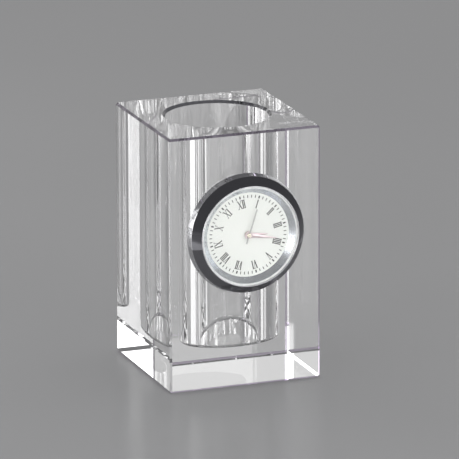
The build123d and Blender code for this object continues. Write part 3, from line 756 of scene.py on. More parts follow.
class Grower(Sheet):
    """One Geometry Nodes tree with named sizes, whose result becomes a plain mesh."""

    prefix = "GeometryNode"

    def __init__(self, name: str) -> None:
        """Starts an empty tree.

        Args:
            name: The tree's name.
        """
        super().__init__(bpy.data.node_groups.new(name, "GeometryNodeTree"))
        self.inlet = self.tree.nodes.new("NodeGroupInput")
        self.values: dict[str, Any] = {}
        self.places: list[Sequence[float]] = []

    def points(self, places: Profile) -> Socket:
        """Gives the tree points to start from, before any size is added.

        Args:
            places: The points in the dial's millimetres.

        Returns:
            The socket that gives them.
        """
        self.places = list(places)
        self.tree.interface.new_socket("Places", in_out="INPUT", socket_type="NodeSocketGeometry")
        return self.inlet.outputs["Places"]

    def sizes(self, part: Any, *fields: str) -> list[Socket]:
        """Gives the tree a named input for each of a part's sizes.

        Args:
            part: The part whose sizes they are, whole numbers for counts.
            fields: The sizes' names.

        Returns:
            The sockets that give them, in the same order.
        """
        names = [size.replace("_", " ").capitalize() for size in fields]
        for name, size in zip(names, fields):
            value = getattr(part, size)
            kind = "NodeSocketInt" if isinstance(value, int) else "NodeSocketFloat"
            item = self.tree.interface.new_socket(name, in_out="INPUT", socket_type=kind)
            self.values[item.identifier] = value
        return [self.inlet.outputs[name] for name in names]

    def math(self, operation: str, first: Any, second: Any = 0.0) -> Socket:
        """A sum of two values or sockets."""
        return self.made("ShaderNodeMath", {0: first, 1: second}, operation=operation)

    def times(self, first: Any, second: Any) -> Socket:
        """One value or socket times another."""
        return self.math("MULTIPLY", first, second)

    def less(self, first: Any, second: Any) -> Socket:
        """One value or socket less another."""
        return self.math("SUBTRACT", first, second)

    def vector(self, x: Any = 0.0, y: Any = 0.0, z: Any = 0.0) -> Socket:
        """A vector from three values or sockets."""
        return self.made("ShaderNodeCombineXYZ", {0: x, 1: y, 2: z})

    def joined(self, *parts: Socket) -> Socket:
        """Several geometries as one.

        Args:
            parts: The sockets that give them.

        Returns:
            The socket that gives all of them.
        """
        node = self.node("JoinGeometry")
        for part in parts:
            self.tree.links.new(part, node.inputs[0])
        return node.outputs[0]

    def circle(self, radius: Any, steps: Any) -> Socket:
        """A closed round curve."""
        return self.made("CurvePrimitiveCircle", {"Resolution": steps, "Radius": radius})

    def bar(self, low: Any, high: Any, foot: Any, tip: Any, sides: int) -> Socket:
        """A round bar between two heights.

        Args:
            low: The lower height.
            high: The upper height.
            foot: The radius at the lower height.
            tip: The radius at the upper height.
            sides: How many steps round.

        Returns:
            The bar.
        """
        tall = self.less(high, low)
        sizes = {"Vertices": sides, "Radius Top": tip, "Radius Bottom": foot, "Depth": tall}
        return self.moved(self.made("MeshCone", sizes), self.vector(z=low))

    def scalloped(self, count: Any, radius: Any, scallop: Any, side: float) -> Socket:
        """A circle with small round bumps or dips set evenly along it.

        Args:
            count: How many bumps.
            radius: The circle's radius.
            scallop: The radius of one bump.
            side: 1 for bumps, -1 for dips.

        Returns:
            The curve.
        """
        line = self.circle(radius, self.times(count, SCALLOP_STEPS))
        step = self.math("MODULO", self.made("InputIndex"), SCALLOP_STEPS)
        phase = self.math("DIVIDE", step, SCALLOP_STEPS)
        pitch = self.math("DIVIDE", self.times(radius, 2 * math.pi), count)
        along = self.times(self.less(phase, 0.5), pitch)
        left = self.less(self.times(scallop, scallop), self.times(along, along))
        lift = self.times(self.math("SQRT", self.math("MAXIMUM", left, 0.0)), side)
        outward = self.made("ShaderNodeVectorMath", {0: self.made("InputPosition")}, operation="NORMALIZE")
        offset = self.made("ShaderNodeVectorMath", {0: outward, "Scale": lift}, operation="SCALE")
        return self.made("SetPosition", {0: line, "Offset": offset})

    def slab(self, outlines: Sequence[Socket], length: Socket) -> Socket:
        """A closed slab over flat outlines, where an inner outline is a hole.

        Args:
            outlines: The closed curves.
            length: How far it rises.

        Returns:
            The slab, from height nought upwards.
        """
        flat = self.made("FillCurve", {0: self.joined(*outlines)}, mode="NGONS")
        upward = {"Offset": (0, 0, 1), "Offset Scale": length, "Individual": False}
        raised = self.made("ExtrudeMesh", {0: flat, **upward})
        both = self.joined(raised, self.made("FlipFaces", {0: flat}))
        return self.made("MergeByDistance", {0: both, "Distance": GROWN_WELD})

    def moved(self, shape: Socket, by: Any, turn: Any = (0, 0, 0)) -> Socket:
        """A shape turned and then shifted."""
        return self.made("Transform", {0: shape, "Translation": by, "Rotation": turn})

    def grown(self, name: str, geometry: Socket, finish: Finish, crease: float = CREASE) -> Piece:
        """Ends the tree, runs it once and keeps its result as a plain mesh.

        Args:
            name: The piece's name.
            geometry: The socket with the whole shape, in the dial's millimetres.
            finish: What it is made of.
            crease: The angle in degrees above which an edge stays sharp.

        Returns:
            The new piece.
        """
        real = self.made("RealizeInstances", {0: geometry})
        dressed = self.made("SetMaterial", {0: real, "Material": finish.material()})
        self.tree.interface.new_socket("Shape", in_out="OUTPUT", socket_type="NodeSocketGeometry")
        self.tree.links.new(dressed, self.tree.nodes.new("NodeGroupOutput").inputs[0])
        host = bpy.data.objects.new(name + "_host", bpy.data.meshes.new(name + "_host"))
        host.data.from_pydata(self.places, [], [])
        bpy.context.scene.collection.objects.link(host)
        modifier = host.modifiers.new(name, "NODES")
        modifier.node_group = self.tree
        for identifier, value in self.values.items():
            modifier[identifier] = value
        scene_graph = bpy.context.evaluated_depsgraph_get()
        mesh = bpy.data.meshes.new_from_object(host.evaluated_get(scene_graph))
        if mesh.materials[0] is None:
            mesh.materials.pop(index=0)
        host.modifiers.remove(modifier)
        bpy.data.objects.remove(host)
        return settle(mesh, name, DIAL.matrix(), crease)


def softened() -> bpy.types.NodeTree:
    """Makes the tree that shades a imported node's curved faces smoothly and keeps its corners sharp.

    Returns:
        The tree, made the first time it is asked for.
    """
    found = bpy.data.node_groups.get("smooth_shading")
    if found is not None:
        return found
    grower = Grower("smooth_shading")
    for way in ("INPUT", "OUTPUT"):
        grower.tree.interface.new_socket("Mesh", in_out=way, socket_type="NodeSocketGeometry")
    welded = grower.made("MergeByDistance", {0: grower.inlet.outputs[0], "Distance": PACKED_WELD})
    angle = grower.node("InputMeshEdgeAngle").outputs["Unsigned Angle"]
    sharp = grower.math("GREATER_THAN", angle, math.radians(CREASE))
    smooth = grower.made("SetShadeSmooth", {0: welded, "Shade Smooth": True})
    edges = {0: smooth, "Selection": sharp, "Shade Smooth": False}
    creased = grower.made("SetShadeSmooth", edges, domain="EDGE")
    grower.tree.links.new(creased, grower.tree.nodes.new("NodeGroupOutput").inputs[0])
    return grower.tree


# Placing the pieces


class Part:
    """What every sub-assembly can do: place a new piece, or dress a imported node."""

    def place(self, piece: Piece, finish: Finish, body: str, slot: str, *nodes: str) -> None:
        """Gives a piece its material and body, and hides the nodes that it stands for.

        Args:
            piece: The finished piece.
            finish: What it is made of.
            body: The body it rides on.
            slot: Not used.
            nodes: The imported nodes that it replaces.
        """
        if not piece.data.materials:
            piece.data.materials.append(finish.material())
        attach(piece, body)
        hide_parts(*nodes)
        LOG.info("%s rides on %s, %d faces", piece.name, body, len(piece.data.polygons))

    def dress(self, finish: Finish, slot: str, *nodes: str) -> None:
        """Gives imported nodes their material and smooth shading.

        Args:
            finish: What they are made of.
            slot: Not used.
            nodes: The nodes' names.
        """
        for node in nodes:
            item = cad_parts[node]
            if not item.material_slots:
                item.data.materials.append(None)
            for material_slot in item.material_slots:
                material_slot.material = finish.material()
            item.modifiers.new("smooth_shading", "NODES").node_group = softened()
            LOG.info("%s keeps its packed shape", node)


@dataclass
class GlassBlock(Part):
    """The clear block with its pen well, the clock's recess and bevelled edges.

    A guard is how far beside a small curve or an edge a further ring keeps the wall's shading flat.
    A face is slanted when its normal leans to more than one axis by more than the slant.
    """

    width: float = 60.0
    depth: float = 60.0
    height: float = 98.0
    bevel: float = 0.8
    well_radius: float = 19.5
    well_floor: float = 13.4
    rim_chamfer: float = 1.0
    floor_fillet: float = 1.3
    recess_radius: float = 20.4
    recess_depth: float = 7.5
    clock_height: float = 59.5
    count: int = 512
    fillet_steps: int = 12
    wall_guard: float = 0.2
    fillet_guard: float = 0.02
    floor_guard: float = 0.05
    recess_guard: float = 0.1
    slant: float = 0.1
    wall_margin: float = 0.01
    glass: Finish = ClearGlass("clear_block_glass", (1.0, 1.0, 1.0), passed=(0.93, 0.93, 0.93))
    # Dark purple tinted glass on the bevels: painted shade for their dark, purple-fringed edge reflections
    painted_shade_bevel_glass: Finish = ClearGlass("painted_shade_bevel_glass", (0.36, 0.29, 0.42))
    # Near-black glass on the well's rim chamfer: painted shade for its dark reflection
    painted_shade_rim_glass: Finish = ClearGlass("painted_shade_rim_glass", (0.12, 0.12, 0.14))
    well_glass: Finish = ClearGlass("well_glass", (1.0, 1.0, 1.0), passed=(0.93, 0.93, 0.93), ripple=0.045)

    def outline_points(self) -> dict[tuple[int, int, int, int], Vector]:
        """Works out the block's 24 corners, three at each corner of the box.

        Returns:
            The corners by the signs of their box corner and the axis that their face looks along.
        """
        half = Vector((self.width / 2, self.depth / 2, self.height / 2))
        points = {}
        for signs in product(SIGNS, repeat=3):
            for axis in range(3):
                inset = [half[k] - (0 if k == axis else self.bevel) for k in range(3)]
                points[(*signs, axis)] = Vector(
                    (signs[0] * inset[0], signs[1] * inset[1], signs[2] * inset[2] + half.z)
                )
        return points

    def well_rings(self) -> list[list[Vector]]:
        """Lays out the pen well.

        Returns:
            Its rings from the rim down to the floor.
        """
        low, wall = self.well_floor + self.floor_fillet, self.height - self.rim_chamfer
        levels = (wall, wall - self.wall_guard, low + self.wall_guard, low + self.fillet_guard)
        rings = [(self.well_radius + self.rim_chamfer, self.height)]
        rings += [(self.well_radius, level) for level in levels]
        inner = self.well_radius - self.floor_fillet
        for step in range(1, self.fillet_steps + 1):
            angle = math.pi / 2 * step / self.fillet_steps
            across, down = polar(self.floor_fillet, angle)
            rings.append((inner + across, low - down))
        rings.append((inner - self.floor_guard, self.well_floor))
        return [circle(radius, level, self.count) for radius, level in rings]

    def recess_rings(self) -> list[list[Vector]]:
        """Lays out the clock's recess.

        Returns:
            Its rings from the front face inwards.
        """
        flat = circle(self.recess_radius, 0, self.count)
        guard, deep, front = self.recess_guard, self.recess_depth, -self.depth / 2
        return [
            [Vector((point.x, front + inset, self.clock_height + point.y)) for point in flat]
            for inset in (0, guard, deep - guard, deep)
        ]

    def holed_face(self, shell: Shell, corners: Sequence[Vector], ring: Sequence[Vector]) -> None:
        """Fills a flat face round a hole with four faces, cut from the hole to the corners.

        Args:
            shell: Where the faces go.
            corners: The face's four corners in order.
            ring: The hole's points.
        """
        picks = []
        centre = sum(ring, Vector()) / len(ring)
        for corner in corners:
            aim = (corner - centre).normalized()
            picks.append(max(range(len(ring)), key=lambda n: (ring[n] - centre).dot(aim)))
        count = len(ring)
        step = 1 if (picks[1] - picks[0]) % count < count / 2 else -1
        for side in range(4):
            first, last = picks[side], picks[(side + 1) % 4]
            arc = [ring[first]]
            while first != last:
                first = (first + step) % count
                arc.append(ring[first])
            shell.face(corners[side], *arc, corners[(side + 1) % 4])

    def build(self) -> None:
        """Builds the block as one closed shape with smooth curved walls."""
        shell = Shell()
        points = self.outline_points()
        well, recess = self.well_rings(), self.recess_rings()

        def corner(axis: int, sign: int, pair: Sequence[int], own: int) -> Vector:
            """The corner with a sign along one axis and a pair of signs along the other two."""
            return points[(*pair[:axis], sign, *pair[axis:], own)]

        for rings in (well, recess):
            for first, second in zip(rings, rings[1:]):
                shell.band(first, second)
            shell.face(*rings[-1])
        holes = {(2, 1): well[0], (1, -1): recess[0]}
        for axis in range(3):
            for sign in SIGNS:
                corners = [corner(axis, sign, pair, axis) for pair in ROUND_SIGNS]
                if (axis, sign) in holes:
                    self.holed_face(shell, corners, holes[axis, sign])
                else:
                    shell.face(*corners)
            left, right = (k for k in range(3) if k != axis)
            for pair in product(SIGNS, repeat=2):
                ends = ((-1, left), (1, left), (1, right), (-1, right))
                shell.face(*(corner(axis, sign, pair, own) for sign, own in ends))
        for signs in product(SIGNS, repeat=3):
            shell.face(*(points[(*signs, axis)] for axis in range(3)))
        block = shell.piece("clear_block", BLOCK_MATRIX)
        self.place(block, self.glass, "stand", "block_glass", "glass_block")
        self.tint(block.data)

    def tint(self, mesh: bpy.types.Mesh) -> None:
        """Gives the bevels, but not the left upright ones, a dark purple glass as painted shade, the
        well's rim a near-black glass as painted shade, and the well's wall its own rippled glass.

        Args:
            mesh: The block's mesh.
        """
        for finish in (self.painted_shade_bevel_glass, self.painted_shade_rim_glass, self.well_glass):
            mesh.materials.append(finish.material())
        bevel_start, wall_margin = (self.width / 2 - self.bevel) * MM, self.wall_margin * MM
        rim_start, rim_end = (self.height - self.rim_chamfer) * MM, self.height * MM
        for face in mesh.polygons:
            centre, normal = face.center, face.normal
            slanted = sum(abs(part) > self.slant for part in normal) > 1
            # Painted shade: the bevels take the dark tinted glass, except the left upright ones, which
            # stay clear
            if slanted and max(abs(centre.x), abs(centre.y)) > bevel_start:
                left_upright = abs(normal.z) < self.slant and centre.x < 0
                face.material_index = 0 if left_upright else 1
            # Painted shade: the rim chamfer takes the near-black glass
            elif slanted and rim_start < centre.z < rim_end:
                face.material_index = 2
            elif abs(math.hypot(centre.x, centre.y) - self.well_radius * MM) < wall_margin:
                face.material_index = 3


@dataclass
class Bezel(Part):
    """The polished ring on the glass, with the lens and its thin gasket."""

    profile: Profile = (
        (20.1, 0.02),
        (23.1, 0.02, 0.12),
        (22.4, 2.55, 0.5),
        (19.25, 5.75, 0.1),
        (19.0, 5.75, 0.06),
        (19.0, 4.7),
        (18.3, 4.7, 0.05),
        (18.3, 4.3),
        (20.1, 4.3),
    )
    lens_radius: float = 18.95
    lens_back: float = 4.9
    lens_front: float = 5.7
    lens_bevel: float = 0.12
    gasket_inner: float = 18.3
    gasket_back: float = 4.7
    gasket_fillet: float = 0.04
    gap: float = 0.01
    cone: Span = (2.75, 5.6)
    bore_margin: float = 0.1
    chrome: Finish = PolishedMetal("polished_chrome", (0.78, 0.78, 0.80))
    # A darker copy of the ring's chrome: painted shade for the dark surroundings that the cone reflects
    painted_shade_chrome: Finish = PolishedMetal("painted_shade_chrome", (0.29, 0.29, 0.31))
    glass: Finish = ClearGlass(
        "clear_lens_glass", (1.0, 1.0, 1.0), index=1.5, passed=(0.96, 0.96, 0.96), smear=0.012
    )
    nylon: Finish = MouldedPlastic("milky_gasket", (0.72, 0.73, 0.73), roughness=0.35, depth=0.003)

    def build(self) -> None:
        """Builds the ring, the lens and the gasket."""
        ring = turned("bezel_ring", self.profile, count=384)
        self.place(ring, self.chrome, "insert", "polished_bezel", "bezel")
        # Painted shade: the cone's faces take the darker chrome copy, the rest of the ring the bright
        # chrome
        ring.data.materials.append(self.painted_shade_chrome.material())
        to_dial = DIAL.matrix().inverted()
        for face in ring.data.polygons:
            centre = to_dial @ face.center
            outside = math.hypot(centre.x, centre.y) > self.lens_radius + self.bore_margin
            face.material_index = int(outside and self.cone[0] < centre.z < self.cone[1])
        edge, seat, back = self.lens_bevel, self.lens_back - self.gap, self.lens_back + self.gap
        disc = section(0, self.lens_radius, back, self.lens_front, 0, edge / 2, edge, 0)
        self.place(turned("clock_lens", disc), self.glass, "insert", "lens_glass", "lens")
        band = section(
            self.gasket_inner, self.lens_radius, self.gasket_back, seat, 0, 0, 0, self.gasket_fillet
        )
        self.place(turned("lens_seat_gasket", band), self.nylon, "insert", "clear_gasket", "lens_gasket")


@dataclass
class DialFace(Part):
    """The near-white dial, its silver ring, numerals and minute ticks."""

    front: float = 2.5
    thickness: float = 0.4
    radius: float = 18.5
    hole: float = 1.3
    rim_fillet: float = 0.04
    hole_fillet: float = 0.05
    visible_radius: float = 16.2
    ring_outer: float = 20.05
    ring_front: float = 4.3
    ring_top: float = 18.3
    ring_gap: float = 0.005
    ring_fillet: float = 0.02
    ring_top_fillet: float = 0.05
    foot_circle: float = 12.5
    foot_angles: Span = (125, 305)
    foot_radius: float = 0.4
    foot_length: float = 0.7
    foot_fillet: float = 0.08
    tick_count: int = 60
    bold_every: int = 5
    tick_outer: float = 15.3
    tick_length: float = 1.05
    tick_width: float = 0.28
    bold_width: float = 0.5
    print_thickness: float = 0.06
    paint: Finish = SatinPaint("dial_white", (0.84, 0.86, 0.82), roughness=0.5, contrast=0.012)
    ink: Finish = SatinPaint("dial_ink", (0.022, 0.02, 0.022), roughness=0.38, peel=12.0, contrast=0.12)
    silver: Finish = PolishedMetal(
        "satin_silver", (0.66, 0.69, 0.73), roughness=0.22, marks=0.02, depth=0.00003
    )

    def build(self) -> None:
        """Builds the dial, the ring and the print."""
        back = self.front - self.thickness
        plate = section(self.hole, self.radius, back, self.front, 0, 0, self.rim_fillet, self.hole_fillet)
        dial = turned("dial_plate", plate)
        foot = section(0, self.foot_radius, back - self.foot_length, back, 0, self.foot_fillet, 0, 0)
        for angle in self.foot_angles:
            join(dial, turned("dial_foot", foot, polar(self.foot_circle, math.radians(angle)), count=24))
        self.place(dial, self.paint, "insert", "dial_paint", "dial")
        ring_profile = (
            (self.visible_radius, self.front + self.ring_gap, self.ring_fillet),
            (self.ring_outer, self.front + self.ring_gap),
            (self.ring_outer, self.ring_front),
            (self.ring_top, self.ring_front, self.ring_top_fillet),
        )
        self.place(turned("rehaut_ring", ring_profile), self.silver, "insert", "silver_ring", "dial_ring")
        self.dress(self.ink, "dial_print", "hour_numerals")
        self.place(self.ticks(), self.ink, "insert", "dial_print", "minute_track")

    def ticks(self) -> Piece:
        """Grows the sixty minute ticks, bolder at each hour.

        Returns:
            The ticks as one piece.
        """
        grower = Grower("minute_ticks")
        count, every, outer, length, thin, bold, height, front = grower.sizes(
            self, "tick_count", "bold_every", "tick_outer", "tick_length", "tick_width",
            "bold_width", "print_thickness", "front",
        )
        middle = grower.less(outer, grower.times(length, 0.5))
        points = grower.made("Points", {"Count": count})
        index = grower.made("InputIndex")
        turn = grower.math("DIVIDE", grower.times(index, 2 * math.pi), count)
        place = grower.vector(
            grower.times(grower.math("COSINE", turn), middle),
            grower.times(grower.math("SINE", turn), middle),
            grower.math("ADD", front, grower.times(height, 0.5)),
        )
        is_bold = grower.math("LESS_THAN", grower.math("MODULO", index, every), 0.5)
        width = grower.math("ADD", thin, grower.times(is_bold, grower.less(bold, thin)))
        inputs = {
            "Points": grower.made("SetPosition", {0: points, "Position": place}),
            "Instance": grower.made("MeshCube", {"Size": (1, 1, 1)}),
            "Rotation": grower.vector(z=turn),
            "Scale": grower.vector(length, width, height),
        }
        return grower.grown("minute_ticks", grower.made("InstanceOnPoints", inputs), self.ink)


class HandShape(Enum):
    """How a blade is formed: its edges' height as a share of its middle's, and the length of its root."""

    RIDGED = (0.35, 0.25)
    FLAT = (0.85, 0.1)


@dataclass
class Hand(Part):
    """One hand: a round boss with a bore and a tapered blade, ridged or flat."""

    name: str
    node: str
    body: str
    slot: str
    finish: Finish
    angle: float
    level: float
    length: float
    width: float
    boss: float
    bore: float
    tail: float = 0.0
    tip_width: float = 0.2
    thickness: float = 0.15
    neck_steps: int = 8
    boss_step: float = 7.0
    least_steps: int = 6
    crease: float = 3.0
    shape: HandShape = HandShape.RIDGED

    def half_width(self, distance: float) -> float:
        """Works out half of the blade's width.

        Args:
            distance: How far from the centre.

        Returns:
            Half of the width there.
        """
        if self.shape is HandShape.FLAT:
            return self.width / 2
        share = distance / self.length
        return (self.width + (self.tip_width - self.width) * share) / 2

    def blade(self, shell: Shell, start: Sequence[Vector], end: float, aim: float) -> None:
        """Adds a blade that grows out of an arc of the boss.

        Args:
            shell: Where the faces go.
            start: The arc's points on the boss, from its right end to its left.
            end: The blade's reach from the centre.
            aim: The blade's direction, in radians.
        """
        along = Vector((*polar(1, aim), 0))
        side = Vector((-math.sin(aim), math.cos(aim), 0))
        edge_share, root = self.shape.value
        ridge = Vector((0, 0, self.thickness))
        edge = ridge * edge_share
        sections = []
        for distance in (self.boss + root, end):
            middle, half = along * distance, side * self.half_width(distance)
            right, left = middle - half, middle + half
            sections.append((right, right + edge, middle + ridge, left + edge, left))
        first, last = sections
        middle_index = len(start) // 2
        tops = [point + ridge for point in start]
        for index in range(len(start) - 1):
            inner_edge = first[1] if index < middle_index else first[3]
            shell.face(tops[index], tops[index + 1], inner_edge)
        shell.face(tops[middle_index], first[2], first[1])
        shell.face(tops[middle_index], first[3], first[2])
        shell.face(start[0], tops[0], first[1], first[0])
        shell.face(start[-1], tops[-1], first[3], first[4])
        shell.face(*start, first[4], first[0])
        for index in range(4):
            shell.face(first[index], first[index + 1], last[index + 1], last[index])
        shell.face(first[4], first[0], last[0], last[4])
        shell.face(*last)

    def build(self) -> None:
        """Builds the hand as one closed shape and hangs it on its body."""
        shell = Shell()
        half_turn = math.asin(self.half_width(self.boss) / self.boss)
        openings = [(0.0, self.length)]
        if self.tail:
            openings.append((math.pi, self.tail))
        outer: list[float] = []
        arcs: list[tuple[int, int]] = []
        for number, (aim, _) in enumerate(openings):
            steps = self.neck_steps
            arcs.append((len(outer), len(outer) + steps))
            outer += [aim - half_turn + 2 * half_turn * step / steps for step in range(steps + 1)]
            following = openings[(number + 1) % len(openings)][0]
            if number + 1 == len(openings):
                following += 2 * math.pi
            start, gap = aim + half_turn, following - aim - 2 * half_turn
            steps = max(self.least_steps, int(gap / math.radians(self.boss_step)))
            outer += [start + gap * step / steps for step in range(1, steps)]
        count = len(outer)
        rise = Vector((0, 0, self.thickness))

        def ring(radius: float) -> list[Vector]:
            """The boss's points at a radius, at the same angles as its outline."""
            return [Vector((*polar(radius, turn), 0)) for turn in outer]

        rim, bore = ring(self.boss), ring(self.bore)
        shell.band([p + rise for p in rim], [p + rise for p in bore])
        shell.band(rim, bore)
        shell.band(bore, [p + rise for p in bore])
        covered = {index for first, last in arcs for index in range(first, last)}
        for index in range(count):
            if index not in covered:
                after = (index + 1) % count
                shell.face(rim[index], rim[after], rim[after] + rise, rim[index] + rise)
        for (first, last), (aim, reach) in zip(arcs, openings):
            self.blade(shell, rim[first : last + 1], reach, aim)
        turn = Matrix.Rotation(math.radians(90 - self.angle), 4, "Z")
        matrix = DIAL.matrix() @ Matrix.Translation((0, 0, self.level)) @ turn
        hand = shell.piece(self.name, matrix, self.crease)
        self.place(hand, self.finish, self.body, self.slot, self.node)


@dataclass
class HandSet(Part):
    """The three hands and the small cap over the seconds arbor."""

    # The hour hand's rose silver is a darker copy of the minute hand's metal: painted shade
    shaded_hour_metal: Finish = BrushedMetal(
        "rose_silver_hour_painted_shade", (0.62, 0.50, 0.52), roughness=0.38, metallic=0.7
    )
    minute_metal: Finish = BrushedMetal(
        "rose_silver_minute", (0.78, 0.66, 0.68), roughness=0.38, metallic=0.7
    )
    second_metal: Finish = BrushedMetal("bright_silver", (0.52, 0.52, 0.51), metallic=0.9)
    gold: Finish = PolishedMetal("cap_gold", (0.90, 0.84, 0.68), roughness=0.16)
    cap_radius: float = 0.85
    cap_back: float = 3.85
    cap_front: float = 4.25
    cap_fillet: float = 0.2

    def build(self) -> None:
        """Builds the hands and the cap."""
        hour = Hand(
            "hour_pointer", "hour_hand", "hour_set", "hand_metal", self.shaded_hour_metal,
            angle=104.5, level=3.0, length=7.7, width=1.9, boss=1.45, bore=1.07,
        )
        minute = Hand(
            "minute_pointer", "minute_hand", "minute_set", "hand_metal", self.minute_metal,
            angle=113.3, level=3.35, length=11.2, width=2.05, boss=1.45, bore=0.77,
        )
        second = Hand(
            "seconds_pointer", "second_hand", "seconds_set", "second_hand_metal", self.second_metal,
            angle=30.6, level=3.7, length=10.3, width=0.55, boss=0.85, bore=0.22, tail=3.4,
            shape=HandShape.FLAT,
        )
        for hand in (hour, minute, second):
            hand.build()
        disc = section(0, self.cap_radius, self.cap_back, self.cap_front, 0, 0, self.cap_fillet, 0)
        cap = turned("seconds_cap", disc, count=64)
        self.place(cap, self.gold, "seconds_set", "hub_gold", "hub_cap")


@dataclass
class InsertCase(Part):
    """What can be seen of the insert from behind: case, grip band, back cover, hatch and knob."""

    radius: float = 19.6
    bore: float = 18.6
    rim: float = 20.05
    front: float = 2.5
    back: float = -6.6
    flange_back: float = 0.03
    rim_fillet: float = 0.08
    flange_fillet: float = 0.05
    back_fillet: float = 0.25
    bore_fillet: float = 0.2
    groove_depth: float = 0.15
    groove_middle: float = -5.7
    groove_half: float = 0.3
    grip_inner: float = 19.65
    grip_outer: float = 20.0
    grip_back: float = -5.2
    grip_length: float = 4.0
    rib_radius: float = 0.3
    ribs: int = 36
    grip_steps: int = 288
    knob_place: Spot = (5.25, 9.0933)
    knob_radius: float = 2.6
    knob_back: float = -7.15
    knob_thickness: float = 0.9
    scallops: int = 24
    scallop_radius: float = 0.3
    black: Finish = MouldedPlastic("case_black", (0.035, 0.035, 0.038), roughness=0.45, depth=0.012)
    rubber: Finish = MouldedPlastic("grip_black", (0.03, 0.03, 0.03), roughness=0.8, depth=0.02, sheen=0.3)
    red: Finish = MouldedPlastic("knob_red", (0.45, 0.03, 0.025), roughness=0.4, depth=0.008)
    hatch: Finish = TurnedMetal("hatch_steel", (0.62, 0.62, 0.63), centre=CELL_PLACE, pitch=0.1)

    def build(self) -> None:
        """Builds the case and what lies on it."""
        middle, half = self.groove_middle, self.groove_half
        case_profile = (
            (self.bore, self.front),
            (self.rim, self.front, self.rim_fillet),
            (self.rim, self.flange_back, self.flange_fillet),
            (self.radius, self.flange_back),
            (self.radius, self.back, self.back_fillet),
            (self.bore, self.back, self.bore_fillet),
            (self.bore, middle - half),
            (self.bore + self.groove_depth, middle),
            (self.bore, middle + half),
        )
        self.place(turned("case_tube", case_profile), self.black, "insert", "case_plastic", "insert_case")
        self.place(self.grip(), self.rubber, "grip", "grip_rubber", "grip_ring")
        self.place(self.knob(), self.red, "setter", "knob_plastic", "setting_knob")
        self.dress(self.black, "case_plastic", "back_cover")
        self.dress(self.hatch, "hatch_metal", "battery_hatch")

    def grip(self) -> Piece:
        """Grows the rubber band with its ribs.

        Returns:
            The band.
        """
        grower = Grower("grip_ribs")
        count, inner, outer, rib, back, length = grower.sizes(
            self, "ribs", "grip_inner", "grip_outer", "rib_radius", "grip_back", "grip_length"
        )
        ribbed = grower.scalloped(count, outer, rib, 1.0)
        band = grower.slab((ribbed, grower.circle(inner, self.grip_steps)), length)
        placed = grower.moved(band, grower.vector(z=back))
        return grower.grown("grip_band", placed, self.rubber, KNURL_CREASE)

    def knob(self) -> Piece:
        """Grows the knurled setting knob.

        Returns:
            The knob.
        """
        grower = Grower("knob_knurl")
        count, radius, scallop, back, length = grower.sizes(
            self, "scallops", "knob_radius", "scallop_radius", "knob_back", "knob_thickness"
        )
        knob = grower.slab((grower.scalloped(count, radius, scallop, -1.0),), length)
        placed = grower.moved(knob, grower.vector(*self.knob_place, back))
        return grower.grown("hand_setting_knob", placed, self.red, KNURL_CREASE)


@dataclass
class Movement(Part):
    """The quartz movement's frame: the plates that carry its train, and its screws."""

    pillar_circle: float = 12.0
    pillar_angles: tuple[float, ...] = (110, 235, 290)
    bridge_back: float = -3.5
    board_back: float = -3.9
    board_places: tuple[Spot, ...] = ((11.0, -6.4), (-1.7, 6.6))
    core_back: float = -1.7
    coil_places: tuple[Spot, ...] = ((14.0, -6.3), (14.0, 6.3))
    head_radius: float = 0.9
    head_height: float = 0.45
    head_bevel: float = 0.12
    sides: int = 32
    shank_radius: float = 0.4
    shank_length: float = 2.0
    slot_width: float = 0.25
    slot_depth: float = 0.2
    slot_reach: float = 2.2
    seed: int = 7
    white: Finish = MouldedPlastic("holder_white", (0.72, 0.72, 0.69), roughness=0.5)
    plate: Finish = MouldedPlastic("plate_grey", (0.06, 0.065, 0.07), roughness=0.5)
    bridge: Finish = BrushedMetal("bridge_steel", (0.66, 0.66, 0.67))
    steel: Finish = TurnedMetal("screw_steel", (0.55, 0.56, 0.60), roughness=0.22)

    def build(self) -> None:
        """Dresses the plates and grows the screws."""
        self.dress(self.white, "holder_plastic", "movement_holder")
        self.dress(self.plate, "plate_plastic", "main_plate")
        self.dress(self.bridge, "bridge_metal", "train_bridge")
        self.place(self.screws(), self.steel, "insert", "screw_steel", "movement_screws")

    def seats(self) -> list[Point]:
        """Works out where the screws' heads sit.

        Returns:
            One place for each screw.
        """
        pillars = [polar(self.pillar_circle, math.radians(angle)) for angle in self.pillar_angles]
        groups = (
            (pillars, self.bridge_back),
            (self.board_places, self.board_back),
            (self.coil_places, self.core_back),
        )
        return [(*place, seat) for places, seat in groups for place in places]

    def screws(self) -> Piece:
        """Grows one slotted screw on each seat.

        Returns:
            The screws as one piece.
        """
        grower = Grower("slotted_screws")
        seats = grower.points(self.seats())
        radius, height, bevel, shank, length, width, depth = grower.sizes(
            self, "head_radius", "head_height", "head_bevel", "shank_radius", "shank_length",
            "slot_width", "slot_depth",
        )
        down = grower.times(height, -1.0)
        shoulder = grower.times(grower.less(height, bevel), -1.0)
        end = grower.less(length, bevel)
        runs = (
            (shoulder, 0.0, radius, radius),
            (down, shoulder, grower.less(radius, bevel), radius),
            (0.0, end, shank, shank),
            (end, length, shank, grower.less(shank, bevel)),
        )
        whole = grower.node("MeshBoolean", operation="UNION", solver="EXACT")
        for run in runs:
            grower.tree.links.new(grower.bar(*run, self.sides), whole.inputs["Mesh 2"])
        size = grower.vector(grower.times(radius, self.slot_reach), width, grower.times(depth, 2.0))
        slot = grower.moved(grower.made("MeshCube", {"Size": size}), grower.vector(z=down))
        both = {"Mesh 1": whole.outputs[0], "Mesh 2": slot}
        slotted = grower.made("MeshBoolean", both, operation="DIFFERENCE", solver="EXACT")
        chance = {"ID": grower.made("InputIndex"), "Seed": self.seed}
        turn = grower.node("FunctionNodeRandomValue", chance, data_type="FLOAT").outputs["Value"]
        spin = grower.vector(z=grower.times(turn, math.pi))
        placed = grower.made("InstanceOnPoints", {"Points": seats, "Instance": slotted, "Rotation": spin})
        return grower.grown("slotted_screws", placed, self.steel)


